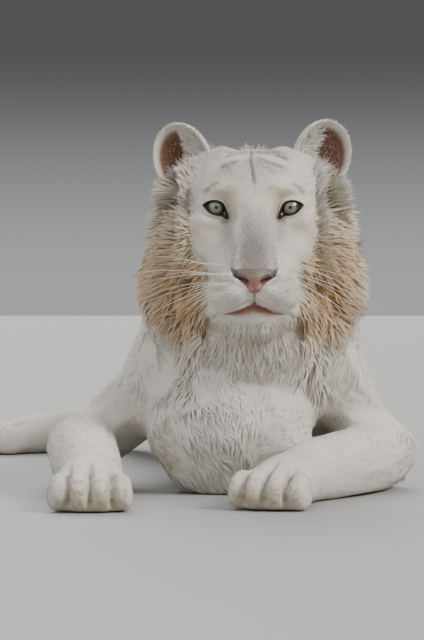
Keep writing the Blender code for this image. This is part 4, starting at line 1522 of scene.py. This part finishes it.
def make_lid_rims(material):
    """The dark bare edges of the lids: a band with a round section that follows each opening."""
    edge = LID_OPENING
    count = len(edge)
    run = np.roll(edge, -1, axis=0) - np.roll(edge, 1, axis=0)
    outward = unit(np.stack((-run[:, 1], run[:, 0]), axis=1))
    centre = edge.mean(0)
    outward *= np.sign(np.sum(outward * (edge - centre), axis=1))[:, None]
    u, v = edge.T
    to_duct = np.exp(-(((u - TEAR_DUCT[0]) ** 2 + (v - TEAR_DUCT[1]) ** 2) / 0.009**2))
    to_corner = np.exp(-(((u - 0.0185) ** 2 + (v - 0.0045) ** 2) / 0.006**2))
    width = 0.0015 + 0.0012 * to_duct + 0.0010 * to_corner
    parts, faces = [], []
    for side in SIDES.values():
        base = len(parts) * count
        for share, front in RIM_SECTION:
            reach = share * width * (1 + DUCT_FLESH * to_duct * (share < 0))
            at = edge + outward * reach[:, None]
            y = lid_surface(*at.T) - front
            if share < 0:
                behind = np.minimum(y, eye_surface(*at.T) + 0.0003)
                y = np.where(to_duct > 0.25, eye_surface(*at.T) + share * 0.0012, behind)
            parts.append(np.stack((side * (at[:, 0] + EYE_APART / 2), y, at[:, 1] + EYE_HEIGHT), axis=1))
        rings = len(RIM_SECTION)
        for ring in range(rings):
            quads = quads_between(base + ring * count, base + (ring + 1) % rings * count, count)
            faces += halved(quads if side > 0 else [quad[::-1] for quad in quads])
    mesh = mesh_of("eyelid_rims", np.vstack(parts), np.array(faces))
    bm = opened(mesh)
    bmesh.ops.recalc_face_normals(bm, faces=bm.faces[:])
    closed(bm, mesh)
    paint(mesh, np.tile(RIM, (len(mesh.vertices), 1)))
    add_piece("eyelid_rims", mesh, "coat", material)


LEATHER_RISE, LEATHER_ROOT = 0.0005, 0.0012  # how far the nose leather stands over and reaches under the skin


def make_nose_leather(material):
    """A thin closed sheet of leather over the nose, with its pebbled grain painted, and painted shade in its
    nostrils and along its top under the bridge.
    """
    inside = leather_share(surface.points)[surface.triangles].all(axis=1)
    ahead = NORMALS[surface.triangles[:, 0], 1] < 0.3
    triangles = surface.triangles[inside & ahead]
    used, faces = np.unique(triangles, return_inverse=True)
    faces = faces.reshape(-1, 3)
    outer = surface.points[used] + NORMALS[used] * LEATHER_RISE
    inner = surface.points[used] - NORMALS[used] * LEATHER_ROOT
    count = len(used)
    edges = np.vstack((faces[:, [0, 1]], faces[:, [1, 2]], faces[:, [2, 0]]))
    keys = np.sort(edges, axis=1)
    _, first, times = np.unique(keys, axis=0, return_index=True, return_counts=True)
    border = edges[first[times == 1]]
    walls = np.vstack((
        np.stack((border[:, 1], border[:, 0], border[:, 0] + count), axis=1),
        np.stack((border[:, 1], border[:, 0] + count, border[:, 1] + count), axis=1),
    ))
    shell = np.vstack((faces, faces[:, ::-1] + count, walls))
    mesh = mesh_of("nose_leather", np.vstack((outer, inner)), shell)
    low = 1 - ramp(outer[:, 2], 0.300, 0.322)
    grain = 0.5 + 0.5 * np.sin(900 * outer[:, 0] + 3 * np.sin(700 * outer[:, 2])) * np.sin(820 * outer[:, 2])
    colours = mixed(PINK * (0.78 + 0.22 * grain[:, None]), 0.5 * low, PINK * (1.15, 1.05, 1.05))
    # grey mottling along the top of the leather, deepened with painted shade under the bridge
    colours = mixed(colours, 0.75 * ramp(outer[:, 2], 0.317, 0.330), GREY * 0.70)
    colours = mixed(colours, 0.45 * ramp(np.abs(outer[:, 0]), 0.010, 0.026), GREY * 0.80)
    # painted shade inside the nostrils' openings
    colours = mixed(colours, nostril_share(outer), NOSTRIL_SHADE)
    paint(mesh, np.vstack((colours, colours)))
    add_piece("nose_leather", mesh, "nose_leather", material, "nose")


# Camera, light and floor

def make_camera():
    """A long lens level with the mouth, dipped very slightly and set a little to the tiger's right."""
    lens, distance, height, dip, aside = 135, 3.6, 0.285, 0.0225, -0.0615
    camera = bpy.data.cameras.new("camera")
    camera.lens = lens
    camera.sensor_width = 36
    camera.clip_end = 200
    holder = new_object("camera", camera)
    at = Vector((aside, -distance, height)) + Vector(ORIGIN)
    aim = Vector((aside, 0.0, height - dip)) + Vector(ORIGIN)
    holder.location = at
    holder.rotation_mode = "QUATERNION"
    holder.rotation_quaternion = (aim - at).to_track_quat("-Z", "Y")
    bpy.context.scene.camera = holder


def sun(name, heading, strength, softness, colour):
    """Parallel soft light, so that the floor is lit alike out to the horizon."""
    light = bpy.data.lights.new(name, "SUN")
    light.energy = strength
    light.angle = math.radians(softness)
    light.color = colour
    holder = new_object(name, light)
    holder.rotation_mode = "QUATERNION"
    holder.rotation_quaternion = Vector(heading).to_track_quat("-Z", "Y")


def make_world():
    """A pale studio wall that darkens above the horizon, under a broad white ceiling light."""
    world = bpy.data.worlds.new("studio")
    bpy.context.scene.world = world
    world.use_nodes = True
    tree = world.node_tree
    link = tree.links.new
    place = tree.nodes.new("ShaderNodeTexCoord")
    parts = tree.nodes.new("ShaderNodeSeparateXYZ")
    shades = tree.nodes.new("ShaderNodeValToRGB")
    shades.color_ramp.interpolation = "EASE"
    steps = [(0.0, 0.42), (0.11, 0.090), (0.30, 0.18), (0.60, 0.95)]
    for number, (height, grey) in enumerate(steps):
        if number > 1:
            shades.color_ramp.elements.new(height)
        step = shades.color_ramp.elements[number]
        step.position = height
        step.color = (grey, grey * 1.01, grey * 1.03, 1)
    link(place.outputs["Generated"], parts.inputs[0])
    link(parts.outputs["Z"], shades.inputs["Fac"])
    link(shades.outputs["Color"], tree.nodes["Background"].inputs["Color"])
    tree.nodes["Background"].inputs["Strength"].default_value = 1.0


FLOOR_RADIUS = 60
FLOOR_GAP = 0.0005  # by which the floor lies lower than the paws, so that the two don't flicker


def make_studio():
    """The lights, the wall and the pale floor."""
    sun("key", (-0.80, 0.45, -0.66), 2.9, 22, (1.0, 0.97, 0.93))
    sun("fill", (0.75, 0.55, -0.32), 0.80, 50, (0.95, 0.97, 1.0))
    sun("back", (0.1, -0.8, -0.55), 1.6, 35, (1.0, 0.98, 0.95))
    make_world()
    bm = bmesh.new()
    bmesh.ops.create_circle(bm, cap_ends=True, segments=96, radius=FLOOR_RADIUS)
    mesh = closed(bm, bpy.data.meshes.new("floor"))
    floor = new_object("floor", mesh)
    floor.location.z = -FLOOR_GAP
    made, tree, shader = principled("pale_floor", 0.75, {})
    link = tree.links.new
    noise = value_of(tree, "ShaderNodeTexNoise", Scale=3.0)
    shades = tree.nodes.new("ShaderNodeValToRGB")
    shades.color_ramp.elements[0].color = (0.33, 0.33, 0.325, 1)
    shades.color_ramp.elements[1].color = (0.37, 0.37, 0.365, 1)
    link(noise.outputs["Fac"], shades.inputs["Fac"])
    link(shades.outputs["Color"], shader.inputs["Base Color"])
    mesh.materials.append(made)


make_camera()
make_studio()
skin_mesh = mesh_of("skin", surface.points, surface.triangles)
paint(skin_mesh, bare_skin_colours())
add_piece("skin", skin_mesh, "coat", make_material("skin"), *UNDER_SKIN)
coat = make_material("coat")
clothe_head(coat)
clothe_body(coat)
make_whiskers(coat)
wet_eye = make_material("wet_eye")
for name, side in SIDES.items():
    make_eye(side, name, wet_eye)
make_lid_rims(make_material("lid_rim"))
make_nose_leather(make_material("nose_leather"))
